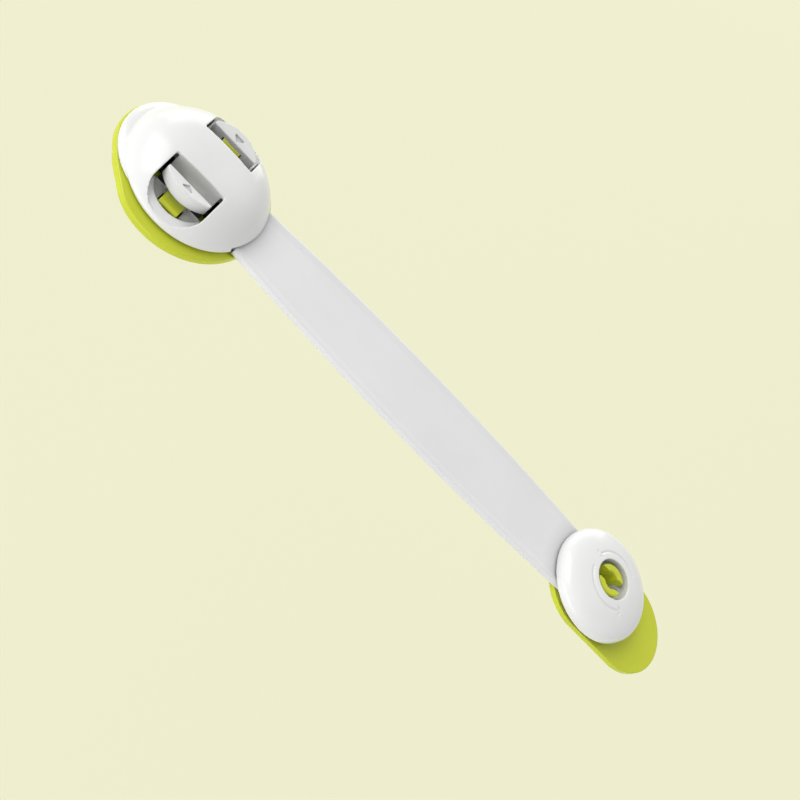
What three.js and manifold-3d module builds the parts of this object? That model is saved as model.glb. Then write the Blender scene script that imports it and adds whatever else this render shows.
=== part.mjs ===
// A child safety lock: a latch head with two push buttons, a flexible strap and a swivelling foot.
// Millimetres, +Z up. The origin is the middle of the latch pad's underside, and +X runs along the strap.
import * as THREE from 'three';
import { mergeVertices } from 'three/addons/utils/BufferGeometryUtils.js';
import Module from 'manifold-3d';

const wasm = await Module();
wasm.setup();

// Shared clearances
const GAP = 0.3;
const SWIVEL_GAP = 0.2;
const RUNNING_GAP = 0.1;
const OVERRUN = 1.0;

// Layout along the strap
const SWIVEL_X = 147;

// Adhesive pads
const PAD_THICKNESS = 1.0;
const PAD_INSET = 1.5;

// Latch foot: an oval with a shallow waist each side of its nose
const FOOT_HALF_LENGTH = 20.35;
const FOOT_HALF_WIDTH = 21.7;
const FOOT_NOSE_RADIUS = 15.5;
const FOOT_NOSE_BACK = 6.35;
const FOOT_WAIST_DEPTH = 0.8;
const FOOT_WAIST_ANGLE = 128;
const FOOT_WAIST_SPREAD = 14;
const FOOT_FLOOR = 1.0;
const FOOT_HEIGHT = 2.0;
const FOOT_EDGE_RISE = 0.4;
const FOOT_EDGE_STEP = 0.45;
const FOOT_POCKET_RADIUS = 16.9;

// Latch cover: a dome on a round plan with a lower nose in front of it
const COVER_X = 0.3;
const COVER_RADIUS = 19.4;
const COVER_RIM_TUCK = 0.9;
const COVER_NOSE_RADIUS = 16.3;
const COVER_NOSE_BACK = 5.0;
const COVER_NOSE_RISE = 1.9;
const NOSE_PLAN_POWER = 8;
const NOSE_RISE_POWER = 1.6;
const COVER_RISE = 9.35;
const COVER_WALL = 1.4;
const DOME_PLAN_POWER = 3.43;
const DOME_RISE_POWER = 1.34;

// Button windows in the cover
const WINDOW_HALF_LENGTH = 7.33;
const RIDGE_HALF_WIDTH = 5.94;
const WINDOW_REACH = 15.5;
const SCOOP_MIDDLE_Y = 12.6;
const SCOOP_REACH = 18.45;
const SCOOP_SHELF = 0.8;
const WINDOW_WALL = 1.2;
const RIB_HALF_WIDTH = 0.8;
const RIB_HALF_LENGTH = 9.0;
const SLIT_START_X = 6.65;
const SLIT_END_X = 8.5;
const SLIT_INNER_Y = 4.5;
const SLIT_OUTER_Y = 10.4;
const SLIT_LIP = 1.0;

// Button retainer and its screws
const RETAINER_RADIUS = 16.5;
const RETAINER_THICKNESS = 1.1;
const RETAINER_VENT_START_X = 6.6;
const RETAINER_VENT_END_X = 9.0;
const RETAINER_VENT_INNER_Y = 5.8;
const RETAINER_VENT_OUTER_Y = 12.6;
const SCREW_X = 12.4;
const SCREW_Y = 4.4;
const SCREW_SHANK_RADIUS = 0.8;
const SCREW_HEAD_RADIUS = 1.6;
const SCREW_HEAD_HEIGHT = 0.6;
const SCREW_LENGTH = 5.0;
const SCREW_RECESS = 0.35;
const SCREW_RECESS_REACH = 1.0;
const BOSS_RADIUS = 2.2;

// Buttons and their forked slides
const BUTTON_TRAVEL = 3.0;
const BUTTON_HALF_LENGTH = 6.5;
const BUTTON_FACE_Y = 9.6;
const BUTTON_BULGE = 3.65;
const BUTTON_END = 0.9;
const BUTTON_LIFT = 0.75;
const BUTTON_TOP = 11.2;
const BUTTON_DEPTH = 3.2;
const BUTTON_WALL = 0.8;
const UPRIGHT_HALF_LENGTH = 4.0;
const UPRIGHT_WALL = 1.0;
const SLIDE_THICKNESS = 0.8;
const SLIDE_HALF_LENGTH = 6.9;
const SLIDE_INNER_Y = 9.4;
const FORK_WEB = 1.9;
const SLIDE_ARM_Y = 15.0;
const SLIDE_NOTCH_TOP = 9.65;
const SPRING_TAB_Y = 7.0;
const SPRING_TAB_WALL = 1.0;
const SPRING_TAB_HALF_LENGTH = 2.6;
const SPRING_TAB_TOP = 6.5;

// Catches on the latch foot
const CATCH_HALF_LENGTH = 2.75;
const CATCH_DEPTH = 3.15;
const CATCH_HOLD = 0.9;
const CATCH_TOP = 5.9;
const CATCH_LEAD = 0.5;
const CATCH_BEVEL = 0.6;

// Button springs
const SPRING_TURNS = 6;
const SPRING_RADIUS = 1.1;
const SPRING_WIRE_RADIUS = 0.2;
const SPRING_STEPS_PER_TURN = 8;
const SPRING_SIDES = 5;
const SPRING_AXIS_HEIGHT = 5.2;
const SPIGOT_RADIUS = 0.5;
const SPIGOT_LENGTH = 1.0;

// Strap
const STRAP_THICKNESS = 2.0;
const STRAP_HALF_WIDTH = 11.0;
const STRAP_MIDDLE_X = 62;
const STRAP_TAPER_SPAN = 60;
const STRAP_SLANT = 1.5;
const STRAP_TAPER = 2.1;
const STRAP_EDGE_ROUND = 0.4;
const STRAP_FIT = 0.12;
const TONGUE_START_X = 9.3;
const TONGUE_THICKNESS = 1.2;
const STRAP_START_X = 17.3;
const HINGE_COUNT = 6;
const FIRST_HINGE_X = 28;
const HINGE_PITCH = 18;
const EYE_RADIUS = 11.0;

// Swivel foot and its split post
const SWIVEL_HALF_WIDTH = 13.75;
const SWIVEL_LENGTH = 14.95;
const SWIVEL_THICKNESS = 1.7;
const SWIVEL_EDGE_ROUND = 0.35;
const POST_RADIUS = 3.4;
const POST_BORE = 2.4;
const POST_SLOT = 3.4;
const HOOK_RADIUS = 4.45;
const HOOK_HEIGHT = 2.6;
const HOOK_LEAD = 0.35;

// Swivel cap
const CAP_RADIUS = 15.45;
const CAP_OFFSET = 0.55;
const CAP_HOLE_RADIUS = 5.5;
const CAP_RIM_Z = 5.3;
const CAP_SKIRT = 0.28;
const CAP_TOP_Z = 11.6;
const CAP_WALL = 1.5;
const CAP_PLAN_POWER = 1.2;
const CAP_RISE_POWER = 3.2;
const CAP_LEDGE_Z = 8.0;
const CAP_HUB_RADIUS = 6.9;
const CAP_SLOT_LENGTH = 5.3;
const CAP_SLOT_BOTTOM = 5.5;
const PEG_RADIUS = 1.2;
const PEG_Y = 8.0;

// Smoothness of round forms
const PLAN_STEPS = 68;
const DOME_ROWS = 10;
const ROUND_STEPS = 32;
const SMALL_ROUND_STEPS = 16;
const STRAP_SIDE_STEPS = 26;
const BUTTON_FACE_STEPS = 20;

// Levels worked out from the sizes above
const FOOT_BOTTOM = PAD_THICKNESS;
const FOOT_FLOOR_TOP = FOOT_BOTTOM + FOOT_FLOOR;
const FOOT_TOP = FOOT_BOTTOM + FOOT_HEIGHT;
const COVER_RIM = FOOT_TOP + GAP;
const RETAINER_BOTTOM = FOOT_FLOOR_TOP + GAP;
const RETAINER_TOP = RETAINER_BOTTOM + RETAINER_THICKNESS;
const SLIDE_BOTTOM = RETAINER_TOP + GAP;
const SLIDE_TOP = SLIDE_BOTTOM + SLIDE_THICKNESS;
const GUIDE_BOTTOM = SLIDE_TOP + GAP;
const SHELF_TOP = GUIDE_BOTTOM + SCOOP_SHELF;
const SWIVEL_TOP = FOOT_BOTTOM + SWIVEL_THICKNESS;
const STRAP_BOTTOM = SWIVEL_TOP + SWIVEL_GAP;
const STRAP_TOP = STRAP_BOTTOM + STRAP_THICKNESS;
const STRAP_AXIS = (STRAP_BOTTOM + STRAP_TOP) / 2;
const CATCH_INNER_Y = SLIDE_INNER_Y + FORK_WEB + GAP;
const CATCH_OUTER_Y = CATCH_INNER_Y + CATCH_DEPTH;
const FORK_ROOT_Y = CATCH_INNER_Y - GAP;
const FORK_HALF_SLOT = CATCH_HALF_LENGTH + GAP;
const CATCH_TIP_Y = FORK_ROOT_Y - CATCH_HOLD;
const EYE_HOLE_RADIUS = POST_RADIUS + RUNNING_GAP;
const FAR = 60;

// Materials
const plastic = (color, roughness) => new THREE.MeshStandardMaterial({ color, roughness, metalness: 0 });
const WHITE_PLASTIC = plastic(0xf4f4f2, 0.35);
const DARK_PLASTIC = plastic(0x1c1c1c, 0.6);
const GREEN_PLASTIC = plastic(0xb9c22f, 0.4);
const STRAP_RUBBER = plastic(0xe9e9e8, 0.6);
const FOAM = plastic(0xd9d9d4, 0.9);
const STEEL = new THREE.MeshStandardMaterial({ color: 0xb8bcc0, roughness: 0.3, metalness: 1 });

const rad = THREE.MathUtils.degToRad;

// Solids: three.js geometry goes into manifold-3d for joining and cutting, and comes back as geometry

function solid(geometry) {
  const bare = geometry.clone();
  bare.deleteAttribute('normal');
  bare.deleteAttribute('uv');
  const merged = mergeVertices(bare, 1e-4);
  const points = merged.attributes.position.array;
  const corners = merged.index.array;
  const kept = [];
  for (let i = 0; i < corners.length; i += 3) {
    const [a, b, c] = [corners[i], corners[i + 1], corners[i + 2]];
    if (a !== b && b !== c && c !== a) kept.push(a, b, c);
  }
  if (signedVolume(points, kept) < 0) {
    for (let i = 0; i < kept.length; i += 3) [kept[i], kept[i + 1]] = [kept[i + 1], kept[i]];
  }
  return new wasm.Manifold(new wasm.Mesh({
    numProp: 3,
    vertProperties: new Float32Array(points),
    triVerts: new Uint32Array(kept),
  }));
}

function signedVolume(points, corners) {
  const [p, q, r] = [new THREE.Vector3(), new THREE.Vector3(), new THREE.Vector3()];
  let total = 0;
  for (let i = 0; i < corners.length; i += 3) {
    p.fromArray(points, 3 * corners[i]);
    q.fromArray(points, 3 * corners[i + 1]);
    r.fromArray(points, 3 * corners[i + 2]);
    total += p.dot(q.cross(r)) / 6;
  }
  return total;
}

function geometryOf(manifold) {
  const mesh = manifold.getMesh();
  const geometry = new THREE.BufferGeometry();
  geometry.setAttribute('position', new THREE.BufferAttribute(new Float32Array(mesh.vertProperties), 3));
  geometry.setIndex(new THREE.BufferAttribute(new Uint32Array(mesh.triVerts), 1));
  geometry.computeVertexNormals();
  return geometry;
}

const join = (...parts) => parts.reduce((a, b) => a.add(b));
const cut = (body, ...tools) => tools.reduce((a, b) => a.subtract(b), body);

function box(x0, x1, y0, y1, z0, z1) {
  const geometry = new THREE.BoxGeometry(x1 - x0, y1 - y0, z1 - z0);
  geometry.translate((x0 + x1) / 2, (y0 + y1) / 2, (z0 + z1) / 2);
  return solid(geometry);
}

function cylinder(radius, x, y, z0, z1, steps = ROUND_STEPS) {
  const geometry = new THREE.CylinderGeometry(radius, radius, z1 - z0, steps);
  geometry.rotateX(Math.PI / 2);
  geometry.translate(x, y, (z0 + z1) / 2);
  return solid(geometry);
}

// An outline in plan, pulled up from z0 to z1
function slab(shape, z0, z1, curveSteps = ROUND_STEPS) {
  const geometry = new THREE.ExtrudeGeometry(shape, { depth: z1 - z0, bevelEnabled: false, curveSegments: curveSteps });
  geometry.translate(0, 0, z0);
  return solid(geometry);
}

// An outline in plan with rounded top and bottom edges
function roundedSlab(shape, z0, z1, round, curveSteps = ROUND_STEPS) {
  const geometry = new THREE.ExtrudeGeometry(shape, {
    depth: z1 - z0 - 2 * round,
    bevelThickness: round,
    bevelSize: round,
    bevelOffset: -round,
    bevelSegments: 2,
    curveSegments: curveSteps,
  });
  geometry.translate(0, 0, z0 + round);
  return solid(geometry);
}

// An outline in the YZ plane, pulled along X over both sides of the middle
function alongX(shape, halfLength) {
  const geometry = new THREE.ExtrudeGeometry(shape, { depth: 2 * halfLength, bevelEnabled: false });
  geometry.translate(0, 0, -halfLength);
  geometry.rotateX(Math.PI / 2);
  geometry.rotateZ(Math.PI / 2);
  return solid(geometry);
}

// An outline in the XZ plane, pulled along Y over both sides of the middle
function alongY(shape, halfWidth) {
  const geometry = new THREE.ExtrudeGeometry(shape, { depth: 2 * halfWidth, bevelEnabled: false, curveSegments: SMALL_ROUND_STEPS });
  geometry.translate(0, 0, -halfWidth);
  geometry.rotateX(Math.PI / 2);
  return solid(geometry);
}

// A round body: points are [radius, height], from the axis round to the axis or back to the first point
function turned(points, x = 0, y = 0, steps = ROUND_STEPS) {
  const geometry = new THREE.LatheGeometry(points.map(([r, z]) => new THREE.Vector2(r, z)), steps);
  geometry.rotateX(Math.PI / 2);
  geometry.translate(x, y, 0);
  return solid(geometry);
}

// A round body stretched to a plan outline: points are [share of the outline, offset from it, height]
function turnedTo(outline, points) {
  const marks = points.map(([share, offset, z], row) => new THREE.Vector2(row === 0 || row === points.length - 1 ? 0 : 1, z));
  const geometry = new THREE.LatheGeometry(marks, PLAN_STEPS);
  geometry.rotateX(Math.PI / 2);
  const place = geometry.attributes.position;
  const rows = points.length;
  for (let i = 0; i < place.count; i += 1) {
    const [share, offset] = points[i % rows];
    const angle = Math.atan2(place.getY(i), place.getX(i));
    const radius = share === 0 ? 0 : share * outline(angle) + offset;
    const onAxis = Math.hypot(place.getX(i), place.getY(i)) < 1e-6;
    place.setXY(i, onAxis ? 0 : radius * Math.cos(angle), onAxis ? 0 : radius * Math.sin(angle));
  }
  return solid(geometry);
}

function stadium(x0, x1, radius) {
  const shape = new THREE.Shape();
  shape.absarc(x1, 0, radius, -Math.PI / 2, Math.PI / 2);
  shape.absarc(x0, 0, radius, Math.PI / 2, 1.5 * Math.PI);
  return shape;
}

function polygon(points) {
  return new THREE.Shape(points.map(([a, b]) => new THREE.Vector2(a, b)));
}

const mirrorY = (manifold) => manifold.mirror([0, 1, 0]);

// Plan outlines of the latch end, as a radius for each angle

function noseReach(angle, radius, back) {
  const across = back * Math.sin(angle);
  return -back * Math.cos(angle) + Math.sqrt(radius * radius - across * across);
}

function footOutline(angle) {
  const oval = 1 / Math.hypot(Math.cos(angle) / FOOT_HALF_LENGTH, Math.sin(angle) / FOOT_HALF_WIDTH);
  const fromWaist = (Math.abs(angle) - rad(FOOT_WAIST_ANGLE)) / rad(FOOT_WAIST_SPREAD);
  const waisted = oval - FOOT_WAIST_DEPTH * Math.exp(-fromWaist * fromWaist);
  return Math.max(waisted, noseReach(angle, FOOT_NOSE_RADIUS, FOOT_NOSE_BACK));
}

// A dome on a round plan, drawn in by a wall, and by a tuck at its rim. Powers above 2 make its sides steeper and its top flatter.
function dome(radius, tuck, rise, planPower, risePower, x, wall, bottom) {
  const points = [[0, bottom]];
  if (bottom < COVER_RIM) points.push([radius - wall - tuck, bottom]);
  for (let row = 0; row <= DOME_ROWS; row += 1) {
    const share = Math.cos((row / DOME_ROWS) * Math.PI / 2) ** (2 / planPower);
    const lift = (1 - share ** planPower) ** (1 / risePower);
    points.push([(radius - wall) * share - (row === 0 ? tuck : 0), COVER_RIM + (rise - wall) * lift]);
  }
  points[points.length - 1][0] = 0;
  return turned(points, x, 0, PLAN_STEPS);
}

// The cover's dome and its nose, both drawn in by a wall
function coverDome(wall, bottom) {
  return join(
    dome(COVER_RADIUS, COVER_RIM_TUCK, COVER_RISE, DOME_PLAN_POWER, DOME_RISE_POWER, COVER_X, wall, bottom),
    dome(COVER_NOSE_RADIUS, 0, COVER_NOSE_RISE, NOSE_PLAN_POWER, NOSE_RISE_POWER, -COVER_NOSE_BACK, wall, bottom),
  );
}

// Windows: straight sides up to a middle and an oval outer end, on the +Y side
function windowShape(grow, middle, reach) {
  const half = WINDOW_HALF_LENGTH + grow;
  const shape = new THREE.Shape();
  shape.moveTo(half, RIDGE_HALF_WIDTH - grow);
  shape.lineTo(half, middle);
  shape.absellipse(0, middle, half, reach + grow - middle, 0, Math.PI);
  shape.lineTo(-half, RIDGE_HALF_WIDTH - grow);
  return shape;
}

// Strap outline

function strapHalfWidth(x) {
  const along = (x - STRAP_MIDDLE_X) / STRAP_TAPER_SPAN;
  return STRAP_HALF_WIDTH + STRAP_SLANT * along - STRAP_TAPER * along * along;
}

function strapShape(x0, x1) {
  const side = [];
  for (let i = 0; i <= STRAP_SIDE_STEPS; i += 1) {
    const x = x0 + ((x1 - x0) * i) / STRAP_SIDE_STEPS;
    side.push([x, strapHalfWidth(x)]);
  }
  const far = side.map(([x, y]) => [x, y]).reverse();
  return polygon([...side.map(([x, y]) => [x, -y]), ...far]);
}

// Sub-parts

function latchPad() {
  const points = [[0, 0, 0], [1, -PAD_INSET, 0], [1, -PAD_INSET, PAD_THICKNESS], [0, 0, PAD_THICKNESS]];
  return turnedTo(footOutline, points);
}

function catchPost() {
  const profile = polygon([
    [CATCH_INNER_Y, FOOT_BOTTOM],
    [CATCH_OUTER_Y, FOOT_BOTTOM],
    [CATCH_OUTER_Y, CATCH_TOP - CATCH_BEVEL],
    [CATCH_OUTER_Y - CATCH_BEVEL, CATCH_TOP],
    [CATCH_TIP_Y + CATCH_LEAD, CATCH_TOP],
    [CATCH_TIP_Y, CATCH_TOP - CATCH_LEAD],
    [CATCH_TIP_Y, GUIDE_BOTTOM],
    [CATCH_INNER_Y, GUIDE_BOTTOM],
  ]);
  return alongX(profile, CATCH_HALF_LENGTH);
}

function latchBase() {
  const body = turnedTo(footOutline, [
    [0, 0, FOOT_BOTTOM],
    [1, 0, FOOT_BOTTOM],
    [1, -FOOT_EDGE_STEP / 3, FOOT_TOP - FOOT_EDGE_RISE],
    [1, -FOOT_EDGE_STEP, FOOT_TOP],
    [0, 0, FOOT_TOP],
  ]);
  const pocket = cylinder(FOOT_POCKET_RADIUS, 0, 0, FOOT_FLOOR_TOP, FOOT_TOP + GAP, PLAN_STEPS);
  const strapHalf = strapHalfWidth(FOOT_HALF_LENGTH) + STRAP_FIT;
  const strapNotch = box(FOOT_POCKET_RADIUS - OVERRUN, FAR, -strapHalf, strapHalf, STRAP_BOTTOM - STRAP_FIT, FAR);
  return join(cut(body, pocket, strapNotch), catchPost(), mirrorY(catchPost()));
}

function screwPlaces() {
  return [[SCREW_X, SCREW_Y], [SCREW_X, -SCREW_Y], [-SCREW_X, SCREW_Y], [-SCREW_X, -SCREW_Y]];
}

// Two upright slots on the +Y side, one at each end of a window
function slits(x0, x1, y0, y1) {
  return join(box(x0, x1, y0, y1, 0, FAR), box(-x1, -x0, y0, y1, 0, FAR));
}

function latchCover() {
  const outer = coverDome(0, COVER_RIM);
  const shell = cut(outer, coverDome(COVER_WALL, COVER_RIM - OVERRUN));
  const rib = box(-RIB_HALF_LENGTH, RIB_HALF_LENGTH, -RIB_HALF_WIDTH, RIB_HALF_WIDTH, SLIDE_BOTTOM, FAR);
  const frame = slab(windowShape(WINDOW_WALL, SCOOP_MIDDLE_Y, SCOOP_REACH), GUIDE_BOTTOM, FAR);
  const bosses = screwPlaces().map(([x, y]) => cylinder(BOSS_RADIUS, x, y, RETAINER_TOP + GAP, FAR, SMALL_ROUND_STEPS));
  const slit = slits(SLIT_START_X, SLIT_END_X, SLIT_INNER_Y, SLIT_OUTER_Y).intersect(coverDome(SLIT_LIP, 0));
  const inside = join(rib, frame, mirrorY(frame), ...bosses).intersect(outer);
  const window = slab(windowShape(0, WINDOW_REACH - WINDOW_HALF_LENGTH, WINDOW_REACH), 0, FAR);
  const scoop = slab(windowShape(0, SCOOP_MIDDLE_Y, SCOOP_REACH), SHELF_TOP, FAR);
  const tabHalf = SPRING_TAB_HALF_LENGTH + GAP;
  const tabWay = box(-tabHalf, tabHalf, RIB_HALF_WIDTH, RIDGE_HALF_WIDTH + GAP, 0, SPRING_TAB_TOP + GAP);
  const screwBores = screwPlaces().map(([x, y]) => {
    const depth = RETAINER_BOTTOM + SCREW_HEAD_HEIGHT + SCREW_LENGTH + GAP;
    return cylinder(SCREW_SHANK_RADIUS + GAP, x, y, 0, depth, SMALL_ROUND_STEPS);
  });
  const strapHalf = strapHalfWidth(COVER_RADIUS) + STRAP_FIT;
  const strapWay = box(SCREW_X + BOSS_RADIUS, FAR, -strapHalf, strapHalf, 0, STRAP_TOP + GAP);
  const sides = [window, scoop, slit, tabWay];
  const opened = cut(join(shell, inside), ...sides, ...sides.map(mirrorY), ...screwBores, strapWay);
  return join(opened, spigot(1), spigot(-1));
}

// A short peg on the rib that keeps a spring in place
function spigot(side) {
  const geometry = new THREE.CylinderGeometry(SPIGOT_RADIUS, SPIGOT_RADIUS, SPIGOT_LENGTH + RIB_HALF_WIDTH, SMALL_ROUND_STEPS);
  geometry.translate(0, side * (SPIGOT_LENGTH + RIB_HALF_WIDTH) / 2, SPRING_AXIS_HEIGHT);
  return solid(geometry);
}

function buttonRetainer() {
  const disc = cylinder(RETAINER_RADIUS, 0, 0, RETAINER_BOTTOM, RETAINER_TOP, PLAN_STEPS);
  const hole = box(-FORK_HALF_SLOT, FORK_HALF_SLOT, FORK_ROOT_Y, CATCH_OUTER_Y + GAP, 0, FAR);
  const vent = slits(RETAINER_VENT_START_X, RETAINER_VENT_END_X, RETAINER_VENT_INNER_Y, RETAINER_VENT_OUTER_Y);
  const screwHoles = screwPlaces().map(([x, y]) => join(
    cylinder(SCREW_SHANK_RADIUS + GAP, x, y, 0, FAR, SMALL_ROUND_STEPS),
    cylinder(SCREW_HEAD_RADIUS + GAP, x, y, 0, RETAINER_BOTTOM + SCREW_HEAD_HEIGHT, SMALL_ROUND_STEPS),
  ));
  return cut(disc, hole, mirrorY(hole), vent, mirrorY(vent), ...screwHoles);
}

function retainerScrew(x, y) {
  const bottom = RETAINER_BOTTOM;
  const shoulder = bottom + SCREW_HEAD_HEIGHT;
  const tip = shoulder + SCREW_LENGTH;
  const body = turned([
    [0, bottom],
    [SCREW_HEAD_RADIUS, bottom],
    [SCREW_HEAD_RADIUS, shoulder],
    [SCREW_SHANK_RADIUS, shoulder],
    [SCREW_SHANK_RADIUS, tip - SCREW_SHANK_RADIUS],
    [0, tip],
  ], x, y, SMALL_ROUND_STEPS);
  const long = SCREW_RECESS_REACH;
  const wide = SCREW_RECESS / 2;
  const recess = join(
    box(x - long, x + long, y - wide, y + wide, 0, bottom + SCREW_RECESS),
    box(x - wide, x + wide, y - long, y + long, 0, bottom + SCREW_RECESS),
  );
  return cut(body, recess);
}

// A button on the +Y side: a D-shaped cap on an upright, on a forked slide
function button() {
  const plate = box(-SLIDE_HALF_LENGTH, SLIDE_HALF_LENGTH, SLIDE_INNER_Y, SLIDE_ARM_Y, SLIDE_BOTTOM, SLIDE_TOP);
  const fork = box(-FORK_HALF_SLOT, FORK_HALF_SLOT, FORK_ROOT_Y, FAR, 0, SLIDE_TOP + GAP);
  const upright = box(
    -UPRIGHT_HALF_LENGTH,
    UPRIGHT_HALF_LENGTH,
    BUTTON_FACE_Y,
    BUTTON_FACE_Y + UPRIGHT_WALL,
    SLIDE_BOTTOM,
    BUTTON_TOP,
  );
  const bow = BUTTON_BULGE - BUTTON_END;
  const bend = (BUTTON_HALF_LENGTH ** 2 + bow ** 2) / (2 * bow);
  const bendY = BUTTON_FACE_Y + BUTTON_BULGE - bend;
  const spread = Math.asin(BUTTON_HALF_LENGTH / bend);
  const face = new THREE.Shape();
  face.moveTo(-BUTTON_HALF_LENGTH, BUTTON_FACE_Y);
  face.lineTo(BUTTON_HALF_LENGTH, BUTTON_FACE_Y);
  face.absarc(0, bendY, bend, Math.PI / 2 - spread, Math.PI / 2 + spread);
  const cap = slab(face, BUTTON_TOP - BUTTON_DEPTH, BUTTON_TOP, BUTTON_FACE_STEPS).warp((point) => {
    if (point[2] > BUTTON_TOP - GAP) point[2] += (BUTTON_LIFT * (point[1] - BUTTON_FACE_Y)) / BUTTON_BULGE;
  });
  const notchDepth = BUTTON_FACE_Y + BUTTON_BULGE - BUTTON_WALL;
  const notch = box(-FORK_HALF_SLOT, FORK_HALF_SLOT, 0, notchDepth, SLIDE_TOP, SLIDE_NOTCH_TOP);
  const tabHalf = SPRING_TAB_HALF_LENGTH;
  const tabFoot = box(-tabHalf, tabHalf, SPRING_TAB_Y, SLIDE_INNER_Y + GAP, SLIDE_BOTTOM, SLIDE_TOP);
  const tab = box(-tabHalf, tabHalf, SPRING_TAB_Y, SPRING_TAB_Y + SPRING_TAB_WALL, SLIDE_BOTTOM, SPRING_TAB_TOP);
  return join(cut(join(plate, upright, cap), fork, notch), tabFoot, tab);
}

// A coil spring on the +Y side, from the rib to the button's tab
class Coil extends THREE.Curve {
  constructor(start, length) {
    super();
    this.start = start;
    this.length = length;
  }

  getPoint(t, target = new THREE.Vector3()) {
    const turn = 2 * Math.PI * SPRING_TURNS * t;
    return target.set(
      SPRING_RADIUS * Math.cos(turn),
      this.start + this.length * t,
      SPRING_AXIS_HEIGHT + SPRING_RADIUS * Math.sin(turn),
    );
  }
}

function buttonSpring() {
  const start = RIB_HALF_WIDTH + SPRING_WIRE_RADIUS + GAP / 2;
  const end = SPRING_TAB_Y - SPRING_WIRE_RADIUS - GAP / 2;
  const coil = new Coil(start, end - start);
  const section = new THREE.Shape();
  for (let side = 0; side < SPRING_SIDES; side += 1) {
    const angle = (2 * Math.PI * side) / SPRING_SIDES;
    const place = [SPRING_WIRE_RADIUS * Math.cos(angle), SPRING_WIRE_RADIUS * Math.sin(angle)];
    if (side === 0) section.moveTo(...place);
    else section.lineTo(...place);
  }
  const pitch = (end - start) / SPRING_TURNS;
  console.log(`button spring: least gap between curls ${(pitch - 2 * SPRING_WIRE_RADIUS).toFixed(2)} mm`);
  const geometry = new THREE.ExtrudeGeometry(section, {
    steps: SPRING_TURNS * SPRING_STEPS_PER_TURN,
    extrudePath: coil,
    bevelEnabled: false,
  });
  return solid(geometry);
}

function strapBlank() {
  const band = roundedSlab(strapShape(STRAP_START_X, SWIVEL_X), STRAP_BOTTOM, STRAP_TOP, STRAP_EDGE_ROUND);
  const eye = cylinder(EYE_RADIUS, SWIVEL_X, 0, STRAP_BOTTOM, STRAP_TOP);
  const pegHoles = [PEG_Y, -PEG_Y].map((y) => cylinder(PEG_RADIUS + GAP, SWIVEL_X, y, 0, FAR, SMALL_ROUND_STEPS));
  return cut(join(band, eye), cylinder(EYE_HOLE_RADIUS, SWIVEL_X, 0, 0, FAR), ...pegHoles);
}

function strapTongue() {
  const half = strapHalfWidth(STRAP_START_X) - STRAP_EDGE_ROUND;
  const plate = box(TONGUE_START_X, STRAP_START_X + OVERRUN, -half, half, STRAP_TOP - TONGUE_THICKNESS, STRAP_TOP);
  const holes = [SCREW_Y, -SCREW_Y].map((y) => cylinder(BOSS_RADIUS + GAP, SCREW_X, y, 0, FAR, SMALL_ROUND_STEPS));
  return cut(plate, ...holes);
}

// One length of strap between two bends: a hollow end that rolls on the length before, and a round end
function strapLength(blank, x0, x1) {
  const reach = STRAP_THICKNESS / 2 + RUNNING_GAP;
  const shape = new THREE.Shape();
  if (x0 === null) {
    shape.moveTo(-FAR, STRAP_AXIS - reach);
  } else {
    shape.moveTo(x0, STRAP_AXIS - reach);
  }
  if (x1 === null) {
    shape.lineTo(SWIVEL_X + FAR, STRAP_AXIS - reach);
    shape.lineTo(SWIVEL_X + FAR, STRAP_AXIS + reach);
  } else {
    shape.lineTo(x1, STRAP_AXIS - STRAP_THICKNESS / 2);
    shape.absarc(x1, STRAP_AXIS, STRAP_THICKNESS / 2, -Math.PI / 2, Math.PI / 2);
  }
  if (x0 === null) {
    shape.lineTo(-FAR, STRAP_AXIS + reach);
  } else {
    shape.lineTo(x0, STRAP_AXIS + reach);
    shape.absarc(x0, STRAP_AXIS, reach, Math.PI / 2, -Math.PI / 2, true);
  }
  return blank.intersect(alongY(shape, FAR));
}

function swivelPost() {
  const hookBottom = CAP_LEDGE_Z + GAP;
  const hookTop = hookBottom + HOOK_HEIGHT;
  const tube = turned([
    [POST_BORE, FOOT_BOTTOM + GAP],
    [POST_RADIUS, FOOT_BOTTOM + GAP],
    [POST_RADIUS, hookBottom],
    [HOOK_RADIUS, hookBottom],
    [HOOK_RADIUS, hookTop - HOOK_LEAD],
    [HOOK_RADIUS - HOOK_LEAD, hookTop],
    [POST_BORE + HOOK_LEAD, hookTop],
    [POST_BORE, hookTop - HOOK_LEAD],
    [POST_BORE, FOOT_BOTTOM + GAP],
  ], SWIVEL_X);
  const slot = box(SWIVEL_X - FAR, SWIVEL_X + FAR, -POST_SLOT / 2, POST_SLOT / 2, SWIVEL_TOP, FAR);
  return cut(tube, slot);
}

function swivelBase() {
  const plate = roundedSlab(
    stadium(SWIVEL_X, SWIVEL_X + SWIVEL_LENGTH, SWIVEL_HALF_WIDTH),
    FOOT_BOTTOM,
    SWIVEL_TOP,
    SWIVEL_EDGE_ROUND,
  );
  return join(plate, swivelPost());
}

function swivelPad() {
  return slab(stadium(SWIVEL_X, SWIVEL_X + SWIVEL_LENGTH, SWIVEL_HALF_WIDTH - PAD_INSET), 0, PAD_THICKNESS);
}

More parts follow.
